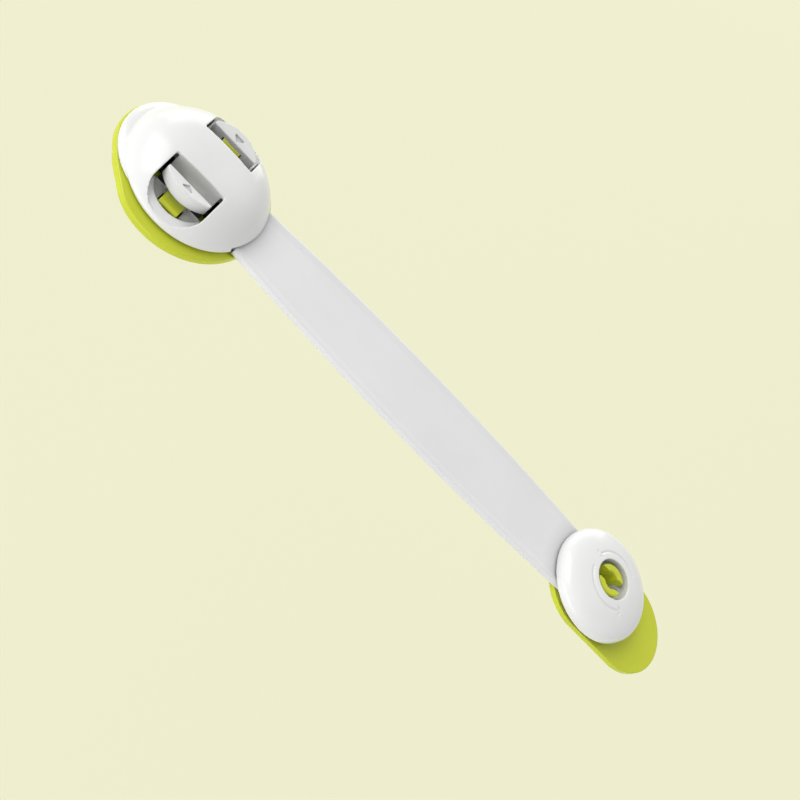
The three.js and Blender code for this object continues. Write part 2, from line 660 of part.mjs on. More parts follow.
// The cap's rounded top, drawn in by a wall, down to a level
function capDome(wall, bottom) {
  const reach = CAP_RADIUS - CAP_HOLE_RADIUS;
  const points = [[0, bottom], [CAP_RADIUS - wall, bottom]];
  for (let row = 0; row <= DOME_ROWS; row += 1) {
    const share = Math.cos((row / DOME_ROWS) * Math.PI / 2);
    const rise = (1 - share ** CAP_PLAN_POWER) ** (1 / CAP_RISE_POWER);
    const radius = CAP_HOLE_RADIUS + (reach - wall) * share;
    points.push([radius, CAP_RIM_Z + (CAP_TOP_Z - wall - CAP_RIM_Z) * rise]);
  }
  points.push([0, CAP_TOP_Z - wall]);
  return turned(points, SWIVEL_X + CAP_OFFSET, 0, PLAN_STEPS);
}

function swivelCap() {
  const outer = capDome(0, CAP_RIM_Z - CAP_SKIRT);
  const shell = cut(outer, capDome(CAP_WALL, CAP_RIM_Z - CAP_SKIRT - GAP));
  const hub = cylinder(CAP_HUB_RADIUS, SWIVEL_X, 0, STRAP_TOP + GAP, FAR);
  const pegs = [PEG_Y, -PEG_Y].map((y) => cylinder(PEG_RADIUS, SWIVEL_X, y, STRAP_BOTTOM + GAP, FAR, SMALL_ROUND_STEPS));
  const inside = join(hub, ...pegs).intersect(capDome(0, 0));
  const bore = cylinder(EYE_HOLE_RADIUS, SWIVEL_X, 0, 0, FAR);
  const counterbore = cylinder(CAP_HOLE_RADIUS, SWIVEL_X, 0, CAP_LEDGE_Z, FAR);
  const slot = box(
    SWIVEL_X - CAP_SLOT_LENGTH,
    SWIVEL_X + CAP_SLOT_LENGTH,
    -POST_SLOT / 2,
    POST_SLOT / 2,
    CAP_SLOT_BOTTOM,
    FAR,
  );
  const strapHalf = Math.max(EYE_RADIUS, strapHalfWidth(SWIVEL_X - CAP_RADIUS)) + GAP;
  const strapWay = cut(
    box(SWIVEL_X - FAR, SWIVEL_X, -strapHalf, strapHalf, 0, STRAP_TOP + STRAP_FIT),
    cylinder(CAP_HUB_RADIUS, SWIVEL_X, 0, STRAP_TOP + GAP, FAR),
  );
  const pegSpace = cut(strapWay, ...[PEG_Y, -PEG_Y].map((y) => cylinder(PEG_RADIUS, SWIVEL_X, y, 0, FAR, SMALL_ROUND_STEPS)));
  return cut(join(shell, inside), bore, counterbore, slot, pegSpace);
}

// Assembly

const lock = new THREE.Group();

function place(name, manifold, material) {
  const mesh = new THREE.Mesh(geometryOf(manifold), material);
  mesh.name = name;
  lock.add(mesh);
}

place('latch_pad', latchPad(), FOAM);
place('latch_base', latchBase(), GREEN_PLASTIC);
place('latch_cover', latchCover(), WHITE_PLASTIC);
place('button_retainer', buttonRetainer(), DARK_PLASTIC);
screwPlaces().forEach(([x, y], i) => place(`retainer_screw_${i + 1}`, retainerScrew(x, y), STEEL));
place('button_left', button(), WHITE_PLASTIC);
place('button_right', mirrorY(button()), WHITE_PLASTIC);
place('button_spring_left', buttonSpring(), STEEL);
place('button_spring_right', mirrorY(buttonSpring()), STEEL);

const hinges = Array.from({ length: HINGE_COUNT }, (_, i) => FIRST_HINGE_X + i * HINGE_PITCH);
const blank = strapBlank();
place('strap_root', join(strapLength(blank, null, hinges[0]), strapTongue()), STRAP_RUBBER);
for (let i = 1; i < HINGE_COUNT; i += 1) {
  place(`strap_link_${i}`, strapLength(blank, hinges[i - 1], hinges[i]), STRAP_RUBBER);
}
place('strap_tail', strapLength(blank, hinges[HINGE_COUNT - 1], null), STRAP_RUBBER);

place('swivel_cap', swivelCap(), WHITE_PLASTIC);
place('swivel_base', swivelBase(), GREEN_PLASTIC);
place('swivel_pad', swivelPad(), FOAM);

export default lock;
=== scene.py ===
import math

import bmesh
import bpy
from mathutils import Matrix, Vector


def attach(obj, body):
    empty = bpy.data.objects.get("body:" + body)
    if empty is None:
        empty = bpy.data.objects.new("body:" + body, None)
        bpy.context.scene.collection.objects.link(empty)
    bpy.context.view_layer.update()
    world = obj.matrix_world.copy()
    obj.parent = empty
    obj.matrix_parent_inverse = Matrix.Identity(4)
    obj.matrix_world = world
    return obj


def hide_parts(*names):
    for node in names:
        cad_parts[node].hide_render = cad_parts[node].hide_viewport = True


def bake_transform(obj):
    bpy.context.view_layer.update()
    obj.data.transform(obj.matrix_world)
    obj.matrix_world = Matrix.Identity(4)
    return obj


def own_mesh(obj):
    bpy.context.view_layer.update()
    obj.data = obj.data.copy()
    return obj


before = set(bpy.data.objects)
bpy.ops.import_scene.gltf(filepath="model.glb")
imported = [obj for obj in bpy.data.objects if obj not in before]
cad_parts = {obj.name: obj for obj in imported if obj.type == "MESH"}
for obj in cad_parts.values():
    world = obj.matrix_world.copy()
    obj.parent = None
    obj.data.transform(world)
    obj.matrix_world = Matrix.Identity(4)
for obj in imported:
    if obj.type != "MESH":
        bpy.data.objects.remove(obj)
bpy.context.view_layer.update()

# Sizes in millimetres, most of them the solids' own. +X runs along the strap and +Z is up.
MM = 0.001
GAP = 0.3
OVERRUN = 1.0
FAR = 60.0
MERGE_DISTANCE = 1e-5
HAIR = 1e-4
FULL_TURN = 2.0 * math.pi
HALF_TURN = math.pi

PAD_THICKNESS = 1.0
PAD_INSET = 1.5
PAD_EDGE_ROUND = 0.25
PAD_CORNER = 0.08
PAD_BULGE_INSET = 0.04
PAD_BULGE_SHARE = 0.3
PAD_WAIST_INSET = 0.14

FOOT_HALF_LENGTH = 20.35
FOOT_HALF_WIDTH = 21.7
FOOT_NOSE_RADIUS = 15.5
FOOT_NOSE_BACK = 6.35
FOOT_WAIST_DEPTH = 0.8
FOOT_WAIST_ANGLE = math.radians(128.0)
FOOT_WAIST_SPREAD = math.radians(14.0)
FOOT_FLOOR_TOP = 2.0
FOOT_TOP = 3.0
FOOT_EDGE_STEP = 0.45
FOOT_EDGE_RISE = 0.4
FOOT_POCKET_RADIUS = 16.9

COVER_X = 0.3
COVER_RADIUS = 19.4
COVER_RIM_TUCK = 0.95
COVER_TUCK_RISE = 1.1
COVER_NOSE_RADIUS = 16.3
COVER_NOSE_BACK = 5.0
COVER_NOSE_RISE = 1.9
NOSE_PLAN_POWER = 8.0
NOSE_RISE_POWER = 1.6
COVER_RIM = 3.3
COVER_RISE = 9.35
COVER_WALL = 1.4
DOME_PLAN_POWER = 3.43
DOME_RISE_POWER = 1.34

WINDOW_HALF_LENGTH = 7.33
RIDGE_HALF_WIDTH = 5.94
WINDOW_REACH = 15.5
SCOOP_MIDDLE_Y = 12.6
SCOOP_REACH = 18.45
WINDOW_WALL = 1.2
GUIDE_BOTTOM = 4.8
SHELF_TOP = 5.6
RIB_HALF_WIDTH = 0.8
RIB_HALF_LENGTH = 9.0
SLIT_START_X = 6.65
SLIT_END_X = 8.5
SLIT_INNER_Y = 4.5
SLIT_OUTER_Y = 10.4
SLIT_LIP = 1.0
SLIT_FAR_X = 7.2
SLIT_FAR_Y = 14.6
SCREW_X = 12.4
SCREW_Y = 4.4
BOSS_RADIUS = 2.2
BOSS_BOTTOM = 3.7
SCREW_BORE_RADIUS = 1.1
SCREW_BORE_TOP = 8.2

BUTTON_HALF_LENGTH = 6.5
BUTTON_FACE_Y = 9.6
BUTTON_BULGE = 3.65
BUTTON_END = 0.9
BUTTON_LIFT = 0.75
BUTTON_TOP = 11.2
BUTTON_DEPTH = 3.2
BUTTON_WALL = 0.8
UPRIGHT_HALF_LENGTH = 4.0
UPRIGHT_WALL = 1.0
SLIDE_BOTTOM = 3.7
SLIDE_TOP = 4.5
SLIDE_HALF_LENGTH = 6.9
SLIDE_INNER_Y = 9.4
SLIDE_ARM_Y = 15.0
SLIDE_NOTCH_TOP = 9.65
FORK_ROOT_Y = 11.3
FORK_HALF_SLOT = 3.05
SPRING_TAB_Y = 7.0
SPRING_TAB_WALL = 1.0
SPRING_TAB_HALF_LENGTH = 2.6
SPRING_TAB_TOP = 6.5
ARROW_HALF_LENGTH = 1.6
ARROW_DEPTH = 0.2
ARROW_INNER_Y = 10.15
ARROW_OUTER_Y = 11.75

CATCH_HALF_LENGTH = 2.75
CATCH_INNER_Y = 11.6
CATCH_OUTER_Y = 14.75
CATCH_TIP_Y = 10.4
CATCH_TOP = 5.9
CATCH_LEAD = 0.5
CATCH_BEVEL = 0.6

SPRING_TURNS = 6
SPRING_RADIUS = 1.1
SPRING_WIRE_RADIUS = 0.2
SPRING_AXIS_HEIGHT = 5.2
SPRING_START_Y = 1.15
SPRING_END_Y = 6.65

SWIVEL_X = 147.0
STRAP_BOTTOM = 2.9
STRAP_TOP = 4.9
STRAP_HALF_WIDTH = 11.0
STRAP_MIDDLE_X = 62.0
STRAP_TAPER_SPAN = 60.0
STRAP_SLANT = 1.5
STRAP_TAPER = 2.1
STRAP_EDGE_ROUND = 0.8
STRAP_LIP_WIDTH = 1.2
STRAP_LIP_SLOPE = 1.0
STRAP_LIP_HEIGHT = 0.3
STRAP_LIP_CREASE = 0.4
STRAP_OVERLAP = 0.8
STRAP_TUCK = 0.02
STRAP_FIT = 0.12
STRAP_START_X = 17.3
STRAP_EYE_START_X = 138.0
STRAP_ROW = 1.0
STRAP_FLAT_CUTS = 7
TONGUE_START_X = 9.3
TONGUE_BOTTOM = 3.7
FIRST_HINGE_X = 28.0
HINGE_PITCH = 18.0
HINGE_COUNT = 6
# A bend reach per length, as a share of the pitch, meant to make neighbouring lengths lean alike where they
# meet so a bend has no kinks; nothing in this script bends the lengths.
BEND_REACH_SHARE = 1.366
BEND_REACH = BEND_REACH_SHARE * HINGE_PITCH
END_BEND_REACH = FIRST_HINGE_X - STRAP_START_X
EYE_RADIUS = 11.0
EYE_HOLE_RADIUS = 3.5
PEG_RADIUS = 1.2
PEG_Y = 8.0

SWIVEL_HALF_WIDTH = 13.75
SWIVEL_LENGTH = 14.95
SWIVEL_TOP = 2.7
POST_RADIUS = 3.4
POST_BORE = 2.4
POST_SLOT = 3.4
HOOK_RADIUS = 4.45
HOOK_BOTTOM = 8.3
HOOK_TOP = 10.9
HOOK_LEAD = 0.35

CAP_X = 147.55
CAP_RADIUS = 15.45
CAP_HOLE_RADIUS = 5.5
CAP_RIM = 5.02
CAP_SKIRT_TOP = 5.3
CAP_TOP = 11.6
CAP_WALL = 1.5
CAP_PLAN_POWER = 1.2
CAP_RISE_POWER = 3.2
CAP_LEDGE = 8.0
CAP_HUB_RADIUS = 6.9
CAP_SLOT_LENGTH = 5.3
CAP_SLOT_BOTTOM = 5.5
TURN_MARK_RADIUS = 7.9
TURN_MARK_HALF_WIDTH = 0.32
TURN_MARK_DEPTH = 0.26
TURN_HEAD_REACH = 1.5
TURN_HEAD_SPREAD = 1.3
TURN_HEAD_WIDTH = 0.75
TURN_HEAD_OVERLAP = 0.1
TURN_HEAD_RAISE = 2.0
TURN_SLOPE_SPAN = 1.0
# In degrees round the cap: where a turn mark starts, how far it sweeps, and where its arrow head sits.
TURN_MARKS = ((48.0, 106.0, 153.0), (188.0, 118.0, 305.0))

# How fine the forms are drawn
PLAN_STEPS = 192
ROUND_STEPS = 96
DOME_ROWS = 40
COIL_TURN_STEPS = 28
WIRE_STEPS = 12
STRAP_EDGE_SEGMENTS = 5
PAD_EDGE_SEGMENTS = 4
ROUND_PROFILE = 0.5

# How each moulding is softened: the size of its faces in millimetres, and the smoothing passes
SOFTEN_SHARE = 0.5
COVER_GRAIN = 0.23
COVER_PASSES = 3
FOOT_GRAIN = 0.22
FOOT_PASSES = 2
BUTTON_GRAIN = 0.15
BUTTON_PASSES = 2
STRAP_GRAIN = 0.25
STRAP_PASSES = 2
CAP_GRAIN = 0.2
CAP_PASSES = 2
SWIVEL_GRAIN = 0.17
SWIVEL_PASSES = 1

# Finishes. Noise scales are per metre and reaches and depths are in metres.
NOISE_LOW = 0.3
NOISE_HIGH = 0.7
NOISE_ROUGHNESS = 0.5
DRIFT_SCALE = 55.0
DRIFT_DETAIL = 3.0
GRAIN_SCALE = 2600.0
GRAIN_DETAIL = 2.0
GRAIN_DEPTH = 0.00002
PLASTIC_IOR = 1.5
# How far the painted shade in recesses looks for nearby faces, and how many rays it casts.
PAINTED_SHADE_REACH = 0.005
PAINTED_SHADE_SAMPLES = 6
FOAM_CELL_SCALE = 2400.0
FOAM_RELIEF = 0.6
FOAM_DEPTH = 0.00015
FOAM_ROUGHNESS = 0.92
DRAWING_SCALE = 4200.0
DRAWING_DETAIL = 4.0
DRAWING_ROUGHNESS = 0.6
STEEL_GLOSS = (0.22, 0.38)


# Shaping helpers. Pieces are shaped in millimetres and taken to metres when they are finished.

def made(name, bm, outward=True):
    """A finished form as an object, still in millimetres."""
    bmesh.ops.remove_doubles(bm, verts=bm.verts[:], dist=MERGE_DISTANCE)
    if outward:
        bmesh.ops.recalc_face_normals(bm, faces=bm.faces[:])
    mesh = bpy.data.meshes.new(name)
    bm.to_mesh(mesh)
    bm.free()
    piece = bpy.data.objects.new(name, mesh)
    bpy.context.scene.collection.objects.link(piece)
    return piece


def points_of(geometry):
    return [part for part in geometry if isinstance(part, bmesh.types.BMVert)]


def edges_of(geometry):
    return [part for part in geometry if isinstance(part, bmesh.types.BMEdge)]


def pulled(bm, edges):
    """The next row of a form: the edges are extruded in place and the new row comes back."""
    grown = bmesh.ops.extrude_edge_only(bm, edges=edges)["geom"]
    points = points_of(grown)
    fresh = set(points)
    row = [edge for edge in edges_of(grown) if set(edge.verts) <= fresh]
    return points, row


def raised(bm, way):
    """Every face so far is pulled out along a way to make a solid."""
    grown = bmesh.ops.extrude_face_region(bm, geom=bm.faces[:])["geom"]
    bmesh.ops.translate(bm, verts=points_of(grown), vec=way)


def stacked(name, outline, rows):
    """Rings drawn to a plan outline and joined upwards.

    A row is its offset from the outline and its height.
    """
    bm = bmesh.new()
    ring = bmesh.ops.create_circle(bm, segments=PLAN_STEPS, radius=1.0)["verts"]
    edges = bm.edges[:]
    for number, (offset, height) in enumerate(rows):
        if number == 0:
            points = ring
        else:
            points, edges = pulled(bm, edges)
        for point in points:
            angle = math.atan2(point.co.y, point.co.x)
            reach = outline(angle) + offset
            point.co = Vector((reach * math.cos(angle), reach * math.sin(angle), height))
        if number == 0:
            bmesh.ops.contextual_create(bm, geom=edges)
    bmesh.ops.contextual_create(bm, geom=edges)
    return made(name, bm)


def turned(name, profile, x=0.0, closed=False, steps=PLAN_STEPS):
    """A profile of (radius, height) points spun about an upright axis."""
    bm = bmesh.new()
    points = [bm.verts.new((x + radius, 0.0, height)) for radius, height in profile]
    for first, second in zip(points, points[1:]):
        bm.edges.new((first, second))
    if closed:
        bm.edges.new((points[-1], points[0]))
    bmesh.ops.spin(
        bm, geom=bm.verts[:] + bm.edges[:], cent=(x, 0.0, 0.0), axis=(0.0, 0.0, 1.0),
        angle=FULL_TURN, steps=steps, use_merge=True,
    )
    return made(name, bm)


def block(name, x0, x1, y0, y1, z0, z1):
    bm = bmesh.new()
    size = Matrix.Diagonal((x1 - x0, y1 - y0, z1 - z0, 1.0))
    middle = Matrix.Translation(((x0 + x1) / 2.0, (y0 + y1) / 2.0, (z0 + z1) / 2.0))
    bmesh.ops.create_cube(bm, size=1.0, matrix=middle @ size)
    return made(name, bm)


def peg(name, radius, x, y, z0, z1):
    bm = bmesh.new()
    bmesh.ops.create_cone(
        bm, cap_ends=True, segments=ROUND_STEPS, radius1=radius, radius2=radius, depth=z1 - z0,
        matrix=Matrix.Translation((x, y, (z0 + z1) / 2.0)),
    )
    return made(name, bm)


def plate(name, corners, z0, z1):
    """A flat face through a few corners in plan, raised to a solid."""
    bm = bmesh.new()
    bm.faces.new([bm.verts.new((x, y, z0)) for x, y in corners])
    raised(bm, (0.0, 0.0, z1 - z0))
    return made(name, bm)


def across(piece, name):
    """A copy on the other side of the strap's middle line."""
    bm = bmesh.new()
    bm.from_mesh(piece.data)
    bmesh.ops.scale(bm, vec=(1.0, -1.0, 1.0), verts=bm.verts[:])
    bmesh.ops.reverse_faces(bm, faces=bm.faces[:])
    return made(name, bm, outward=False)


def settled(piece):
    """The modifiers that a piece carries become its mesh."""
    graph = bpy.context.evaluated_depsgraph_get()
    mesh = bpy.data.meshes.new_from_object(piece.evaluated_get(graph))
    piece.modifiers.clear()
    piece.data = mesh
    return piece


def combined(piece, operation, tools):
    for tool in tools:
        step = piece.modifiers.new(operation.lower(), "BOOLEAN")
        step.operation = operation
        step.solver = "MANIFOLD"
        step.object = tool
    settled(piece)
    for tool in tools:
        bpy.data.objects.remove(tool)
    return piece


def joined(piece, *tools):
    return combined(piece, "UNION", tools)


def cut(piece, *tools):
    return combined(piece, "DIFFERENCE", tools)


def kept_within(piece, tool):
    return combined(piece, "INTERSECT", [tool])


def moulded(piece, grain, passes):
    """Remade in small even faces and softened, so that each edge is rounded as a moulding's is."""
    even = piece.modifiers.new("even", "REMESH")
    even.mode = "VOXEL"
    even.voxel_size = grain
    even.adaptivity = 0.0
    soften = piece.modifiers.new("soften", "SMOOTH")
    soften.factor = SOFTEN_SHARE
    soften.iterations = passes
    return settled(piece)


def to_metres(piece):
    piece.data.transform(Matrix.Scale(MM, 4))
    piece.data.polygons.foreach_set("use_smooth", [True] * len(piece.data.polygons))
    piece.data.update()
    return piece


def finished(piece, body, material, slot, *nodes):
    """The piece in metres with its finish, riding on its body in place of its solids."""
    to_metres(piece)
    piece.data.materials.clear()
    piece.data.materials.append(material)
    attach(piece, body)
    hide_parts(*nodes)
    return piece


# Finishes

def fresh_material(name):
    material = bpy.data.materials.new(name)
    material.use_nodes = True
    nodes = material.node_tree.nodes
    links = material.node_tree.links
    shader = nodes["Principled BSDF"]
    return material, nodes, links, shader


def noise(nodes, links, place, scale, detail, roughness):
    texture = nodes.new("ShaderNodeTexNoise")
    texture.inputs["Scale"].default_value = scale
    texture.inputs["Detail"].default_value = detail
    texture.inputs["Roughness"].default_value = roughness
    links.new(place.outputs["Object"], texture.inputs["Vector"])
    return texture


def spread_colour(nodes, links, texture, shader, low, high):
    """A colour that drifts a little between two close tones."""
    ramp = nodes.new("ShaderNodeValToRGB")
    ramp.color_ramp.elements[0].position = NOISE_LOW
    ramp.color_ramp.elements[0].color = (*low, 1.0)
    ramp.color_ramp.elements[1].position = NOISE_HIGH
    ramp.color_ramp.elements[1].color = (*high, 1.0)
    links.new(texture.outputs["Fac"], ramp.inputs["Fac"])
    links.new(ramp.outputs["Color"], shader.inputs["Base Color"])
    return ramp


def paint_recess_shade(nodes, links, ramp, shader, share):
    """Painted shade: an occlusion node darkens the base colour in slots and corners, where nearby faces
    close the surface in.
    """
    painted_shade = nodes.new("ShaderNodeAmbientOcclusion")
    painted_shade.samples = PAINTED_SHADE_SAMPLES
    painted_shade.inputs["Distance"].default_value = PAINTED_SHADE_REACH
    links.new(ramp.outputs["Color"], painted_shade.inputs["Color"])
    blend = nodes.new("ShaderNodeMixRGB")
    blend.inputs["Fac"].default_value = share
    links.new(ramp.outputs["Color"], blend.inputs["Color1"])
    links.new(painted_shade.outputs["Color"], blend.inputs["Color2"])
    links.new(blend.outputs["Color"], shader.inputs["Base Color"])


def spread_roughness(nodes, links, texture, shader, low, high):
    span = nodes.new("ShaderNodeMapRange")
    span.inputs["From Min"].default_value = NOISE_LOW
    span.inputs["From Max"].default_value = NOISE_HIGH
    span.inputs["To Min"].default_value = low
    span.inputs["To Max"].default_value = high
    links.new(texture.outputs["Fac"], span.inputs["Value"])
    links.new(span.outputs["Result"], shader.inputs["Roughness"])


def relief(nodes, links, height, shader, strength, depth):
    bump = nodes.new("ShaderNodeBump")
    bump.inputs["Strength"].default_value = strength
    bump.inputs["Distance"].default_value = depth
    links.new(height, bump.inputs["Height"])
    links.new(bump.outputs["Normal"], shader.inputs["Normal"])


def moulded_plastic(name, low, high, gloss, grain, painted_shade):
    """A moulded plastic: a tone that drifts slowly, painted shade darkening its slots and corners, and a
    fine even grain in its gloss.
    """
    material, nodes, links, shader = fresh_material(name)
    place = nodes.new("ShaderNodeTexCoord")
    drift = noise(nodes, links, place, DRIFT_SCALE, DRIFT_DETAIL, NOISE_ROUGHNESS)
    ramp = spread_colour(nodes, links, drift, shader, low, high)
    paint_recess_shade(nodes, links, ramp, shader, painted_shade)
    fine = noise(nodes, links, place, GRAIN_SCALE, GRAIN_DETAIL, NOISE_ROUGHNESS)
    spread_roughness(nodes, links, fine, shader, *gloss)
    relief(nodes, links, fine.outputs["Fac"], shader, grain, GRAIN_DEPTH)
    shader.inputs["IOR"].default_value = PLASTIC_IOR
    return material


def linear(red, green, blue):
    """A colour read as screen values, 0 to 255, as the renderer's own values."""
    def one(value):
        share = value / 255.0
        return share / 12.92 if share <= 0.04045 else ((share + 0.055) / 1.055) ** 2.4
    return (one(red), one(green), one(blue))


# One white plastic in copies that differ in gloss and in how much painted shade darkens their recesses. The
# strap and the green also carry painted shade in their recesses.
head_white = moulded_plastic(
    "head_white", low=linear(236, 236, 235), high=linear(242, 242, 241),
    gloss=(0.16, 0.2), grain=0.12, painted_shade=0.05,
)
cap_white = moulded_plastic(
    "cap_white", low=linear(236, 236, 235), high=linear(242, 242, 241),
    gloss=(0.18, 0.22), grain=0.12, painted_shade=0.4,
)
# The buttons' copy of the white is set a little darker and given heavy painted shade, so their slide arms in
# the windows read dark grey.
press_white_shaded = moulded_plastic(
    "press_white_shaded", low=linear(231, 231, 230), high=linear(236, 236, 235),
    gloss=(0.2, 0.24), grain=0.12, painted_shade=0.75,
)
# A near-black plastic for the retainer, dark so that the deep window interiors and slits read black: a real
# retainer whose darkness stands in for painted shade there.
dark_shade_plastic = moulded_plastic(
    "dark_shade_plastic", low=linear(24, 24, 24), high=linear(30, 30, 30),
    gloss=(0.55, 0.65), grain=0.2, painted_shade=0.45,
)
leaf_green = moulded_plastic(
    "leaf_green", low=linear(204, 213, 47), high=linear(210, 219, 51),
    gloss=(0.2, 0.26), grain=0.02, painted_shade=0.15,
)
strap_white = moulded_plastic(
    "strap_white", low=linear(234, 234, 234), high=linear(238, 238, 238),
    gloss=(0.46, 0.56), grain=0.3, painted_shade=0.6,
)


def foam(name):
    """Closed-cell foam: small bubbles cut through at the face."""
    material, nodes, links, shader = fresh_material(name)
    place = nodes.new("ShaderNodeTexCoord")
    cells = nodes.new("ShaderNodeTexVoronoi")
    cells.inputs["Scale"].default_value = FOAM_CELL_SCALE
    links.new(place.outputs["Object"], cells.inputs["Vector"])
    ramp = nodes.new("ShaderNodeValToRGB")
    ramp.color_ramp.elements[0].color = (*linear(196, 196, 190), 1.0)
    ramp.color_ramp.elements[1].color = (*linear(224, 224, 219), 1.0)
    links.new(cells.outputs["Distance"], ramp.inputs["Fac"])
    links.new(ramp.outputs["Color"], shader.inputs["Base Color"])
    relief(nodes, links, cells.outputs["Distance"], shader, FOAM_RELIEF, FOAM_DEPTH)
    shader.inputs["Roughness"].default_value = FOAM_ROUGHNESS
    return material


def drawn_wire(name):
    """Bright steel with fine drawing marks."""
    material, nodes, links, shader = fresh_material(name)
    place = nodes.new("ShaderNodeTexCoord")
    marks = noise(nodes, links, place, DRAWING_SCALE, DRAWING_DETAIL, DRAWING_ROUGHNESS)
    spread_colour(nodes, links, marks, shader, linear(176, 180, 184), linear(206, 209, 212))
    spread_roughness(nodes, links, marks, shader, *STEEL_GLOSS)
    shader.inputs["Metallic"].default_value = 1.0
    return material


pad_foam = foam("pad_foam")
spring_steel = drawn_wire("spring_steel")


# Plan outlines of the latch foot and the strap

def nose_reach(angle, radius, back):
    across_nose = back * math.sin(angle)
    return -back * math.cos(angle) + math.sqrt(radius * radius - across_nose * across_nose)


def foot_outline(angle):
    oval = 1.0 / math.hypot(math.cos(angle) / FOOT_HALF_LENGTH, math.sin(angle) / FOOT_HALF_WIDTH)
    from_waist = (abs(angle) - FOOT_WAIST_ANGLE) / FOOT_WAIST_SPREAD
    waisted = oval - FOOT_WAIST_DEPTH * math.exp(-from_waist * from_waist)
    return max(waisted, nose_reach(angle, FOOT_NOSE_RADIUS, FOOT_NOSE_BACK))


def strap_half_width(x):
    along = (x - STRAP_MIDDLE_X) / STRAP_TAPER_SPAN
    return STRAP_HALF_WIDTH + STRAP_SLANT * along - STRAP_TAPER * along * along


# Latch cover

def dome(name, radius, tuck, rise, plan_power, rise_power, x, wall, bottom):
    """A dome on a round plan, drawn in by a wall, and by a tuck at its rim.

    Higher powers make a flatter top.
    """
    profile = [(0.0, bottom)]
    if bottom < COVER_RIM:
        profile.append((radius - wall - tuck, bottom))
    for row in range(DOME_ROWS):
        share = math.cos(row / DOME_ROWS * HALF_TURN / 2.0) ** (2.0 / plan_power)
        lift = (rise - wall) * (1.0 - share ** plan_power) ** (1.0 / rise_power)
        drawn = tuck * max(0.0, 1.0 - lift / COVER_TUCK_RISE)
        profile.append(((radius - wall) * share - drawn, COVER_RIM + lift))
    profile.append((0.0, COVER_RIM + rise - wall))
    return turned(name, profile, x)


def cover_form(name, wall, bottom):
    """The round dome with a lower nose in front of it, drawn in by a wall."""
    body = dome(
        name, COVER_RADIUS, COVER_RIM_TUCK, COVER_RISE, DOME_PLAN_POWER, DOME_RISE_POWER,
        COVER_X, wall, bottom,
    )
    nose = dome(
        name + "_nose", COVER_NOSE_RADIUS, 0.0, COVER_NOSE_RISE, NOSE_PLAN_POWER, NOSE_RISE_POWER,
        -COVER_NOSE_BACK, wall, bottom,
    )
    return joined(body, nose)


def window_block(name, grow, middle, reach, z0, z1):
    """A window's plan, straight at the ridge and oval past its middle, on the +Y side."""
    half = WINDOW_HALF_LENGTH + grow
    inner_y = RIDGE_HALF_WIDTH - grow
    bm = bmesh.new()
    first = bm.verts.new((half, middle, z0))
    swept = bmesh.ops.spin(
        bm, geom=[first], cent=(0.0, middle, z0), axis=(0.0, 0.0, 1.0),
        angle=HALF_TURN, steps=ROUND_STEPS // 2,
    )
    last = points_of(swept["geom_last"])[0]
    oval = (reach + grow - middle) / half
    bmesh.ops.scale(
        bm, vec=(1.0, oval, 1.0), verts=bm.verts[:], space=Matrix.Translation((0.0, -middle, 0.0)),
    )
    near = bm.verts.new((half, inner_y, z0))
    far = bm.verts.new((-half, inner_y, z0))
    for start, end in ((first, near), (near, far), (far, last)):
        bm.edges.new((start, end))
    bmesh.ops.contextual_create(bm, geom=bm.edges[:])
    raised(bm, (0.0, 0.0, z1 - z0))
    return made(name, bm)


def both_sides(piece):
    return [piece, across(piece, piece.name + "_far")]


def screw_places():
    return [(SCREW_X, SCREW_Y), (SCREW_X, -SCREW_Y), (-SCREW_X, SCREW_Y), (-SCREW_X, -SCREW_Y)]


def latch_cover():
    shell = cover_form("cover_shell", 0.0, COVER_RIM)
    cut(shell, cover_form("hollow", COVER_WALL, COVER_RIM - OVERRUN))
    rib = block("rib", -RIB_HALF_LENGTH, RIB_HALF_LENGTH, -RIB_HALF_WIDTH, RIB_HALF_WIDTH, SLIDE_BOTTOM, FAR)
    frame_wall = window_block("frame_wall", WINDOW_WALL, SCOOP_MIDDLE_Y, SCOOP_REACH, GUIDE_BOTTOM, FAR)
    bosses = [peg("boss", BOSS_RADIUS, x, y, BOSS_BOTTOM, FAR) for x, y in screw_places()]
    inside = joined(rib, *both_sides(frame_wall), *bosses)
    kept_within(inside, cover_form("limit", 0.0, COVER_RIM))
    joined(shell, inside)
    window_middle = WINDOW_REACH - WINDOW_HALF_LENGTH
    windows = both_sides(window_block("window", 0.0, window_middle, WINDOW_REACH, 0.0, FAR))
    scoops = both_sides(window_block("scoop", 0.0, SCOOP_MIDDLE_Y, SCOOP_REACH, SHELF_TOP, FAR))
    tab_half = SPRING_TAB_HALF_LENGTH + GAP
    tab_way = block(
        "tab_way", -tab_half, tab_half, RIB_HALF_WIDTH, RIDGE_HALF_WIDTH + GAP, 0.0, SPRING_TAB_TOP + GAP,
    )
    bores = [peg("bore", SCREW_BORE_RADIUS, x, y, 0.0, SCREW_BORE_TOP) for x, y in screw_places()]
    strap_half = strap_half_width(COVER_RADIUS) + STRAP_FIT
    strap_way = block("strap_way", SCREW_X + BOSS_RADIUS, FAR, -strap_half, strap_half, 0.0, STRAP_TOP + GAP)
    slits = block("slit", SLIT_START_X, SLIT_END_X, SLIT_INNER_Y, SLIT_OUTER_Y, 0.0, FAR)
    joined(
        slits,
        block("slit_2", -SLIT_END_X, -SLIT_START_X, SLIT_INNER_Y, SLIT_OUTER_Y, 0.0, FAR),
        block("slit_3", SLIT_FAR_X, SLIT_END_X, SLIT_INNER_Y, SLIT_FAR_Y, 0.0, FAR),
        block("slit_4", -SLIT_END_X, -SLIT_FAR_X, SLIT_INNER_Y, SLIT_FAR_Y, 0.0, FAR),
    )
    kept_within(slits, cover_form("slit_limit", SLIT_LIP, 0.0))
    cut(shell, *windows, *scoops, *both_sides(slits), *both_sides(tab_way), *bores, strap_way)
    moulded(shell, COVER_GRAIN, COVER_PASSES)
    return finished(shell, "latch", head_white, "white_plastic", "latch_cover")


# Latch foot with its two catches

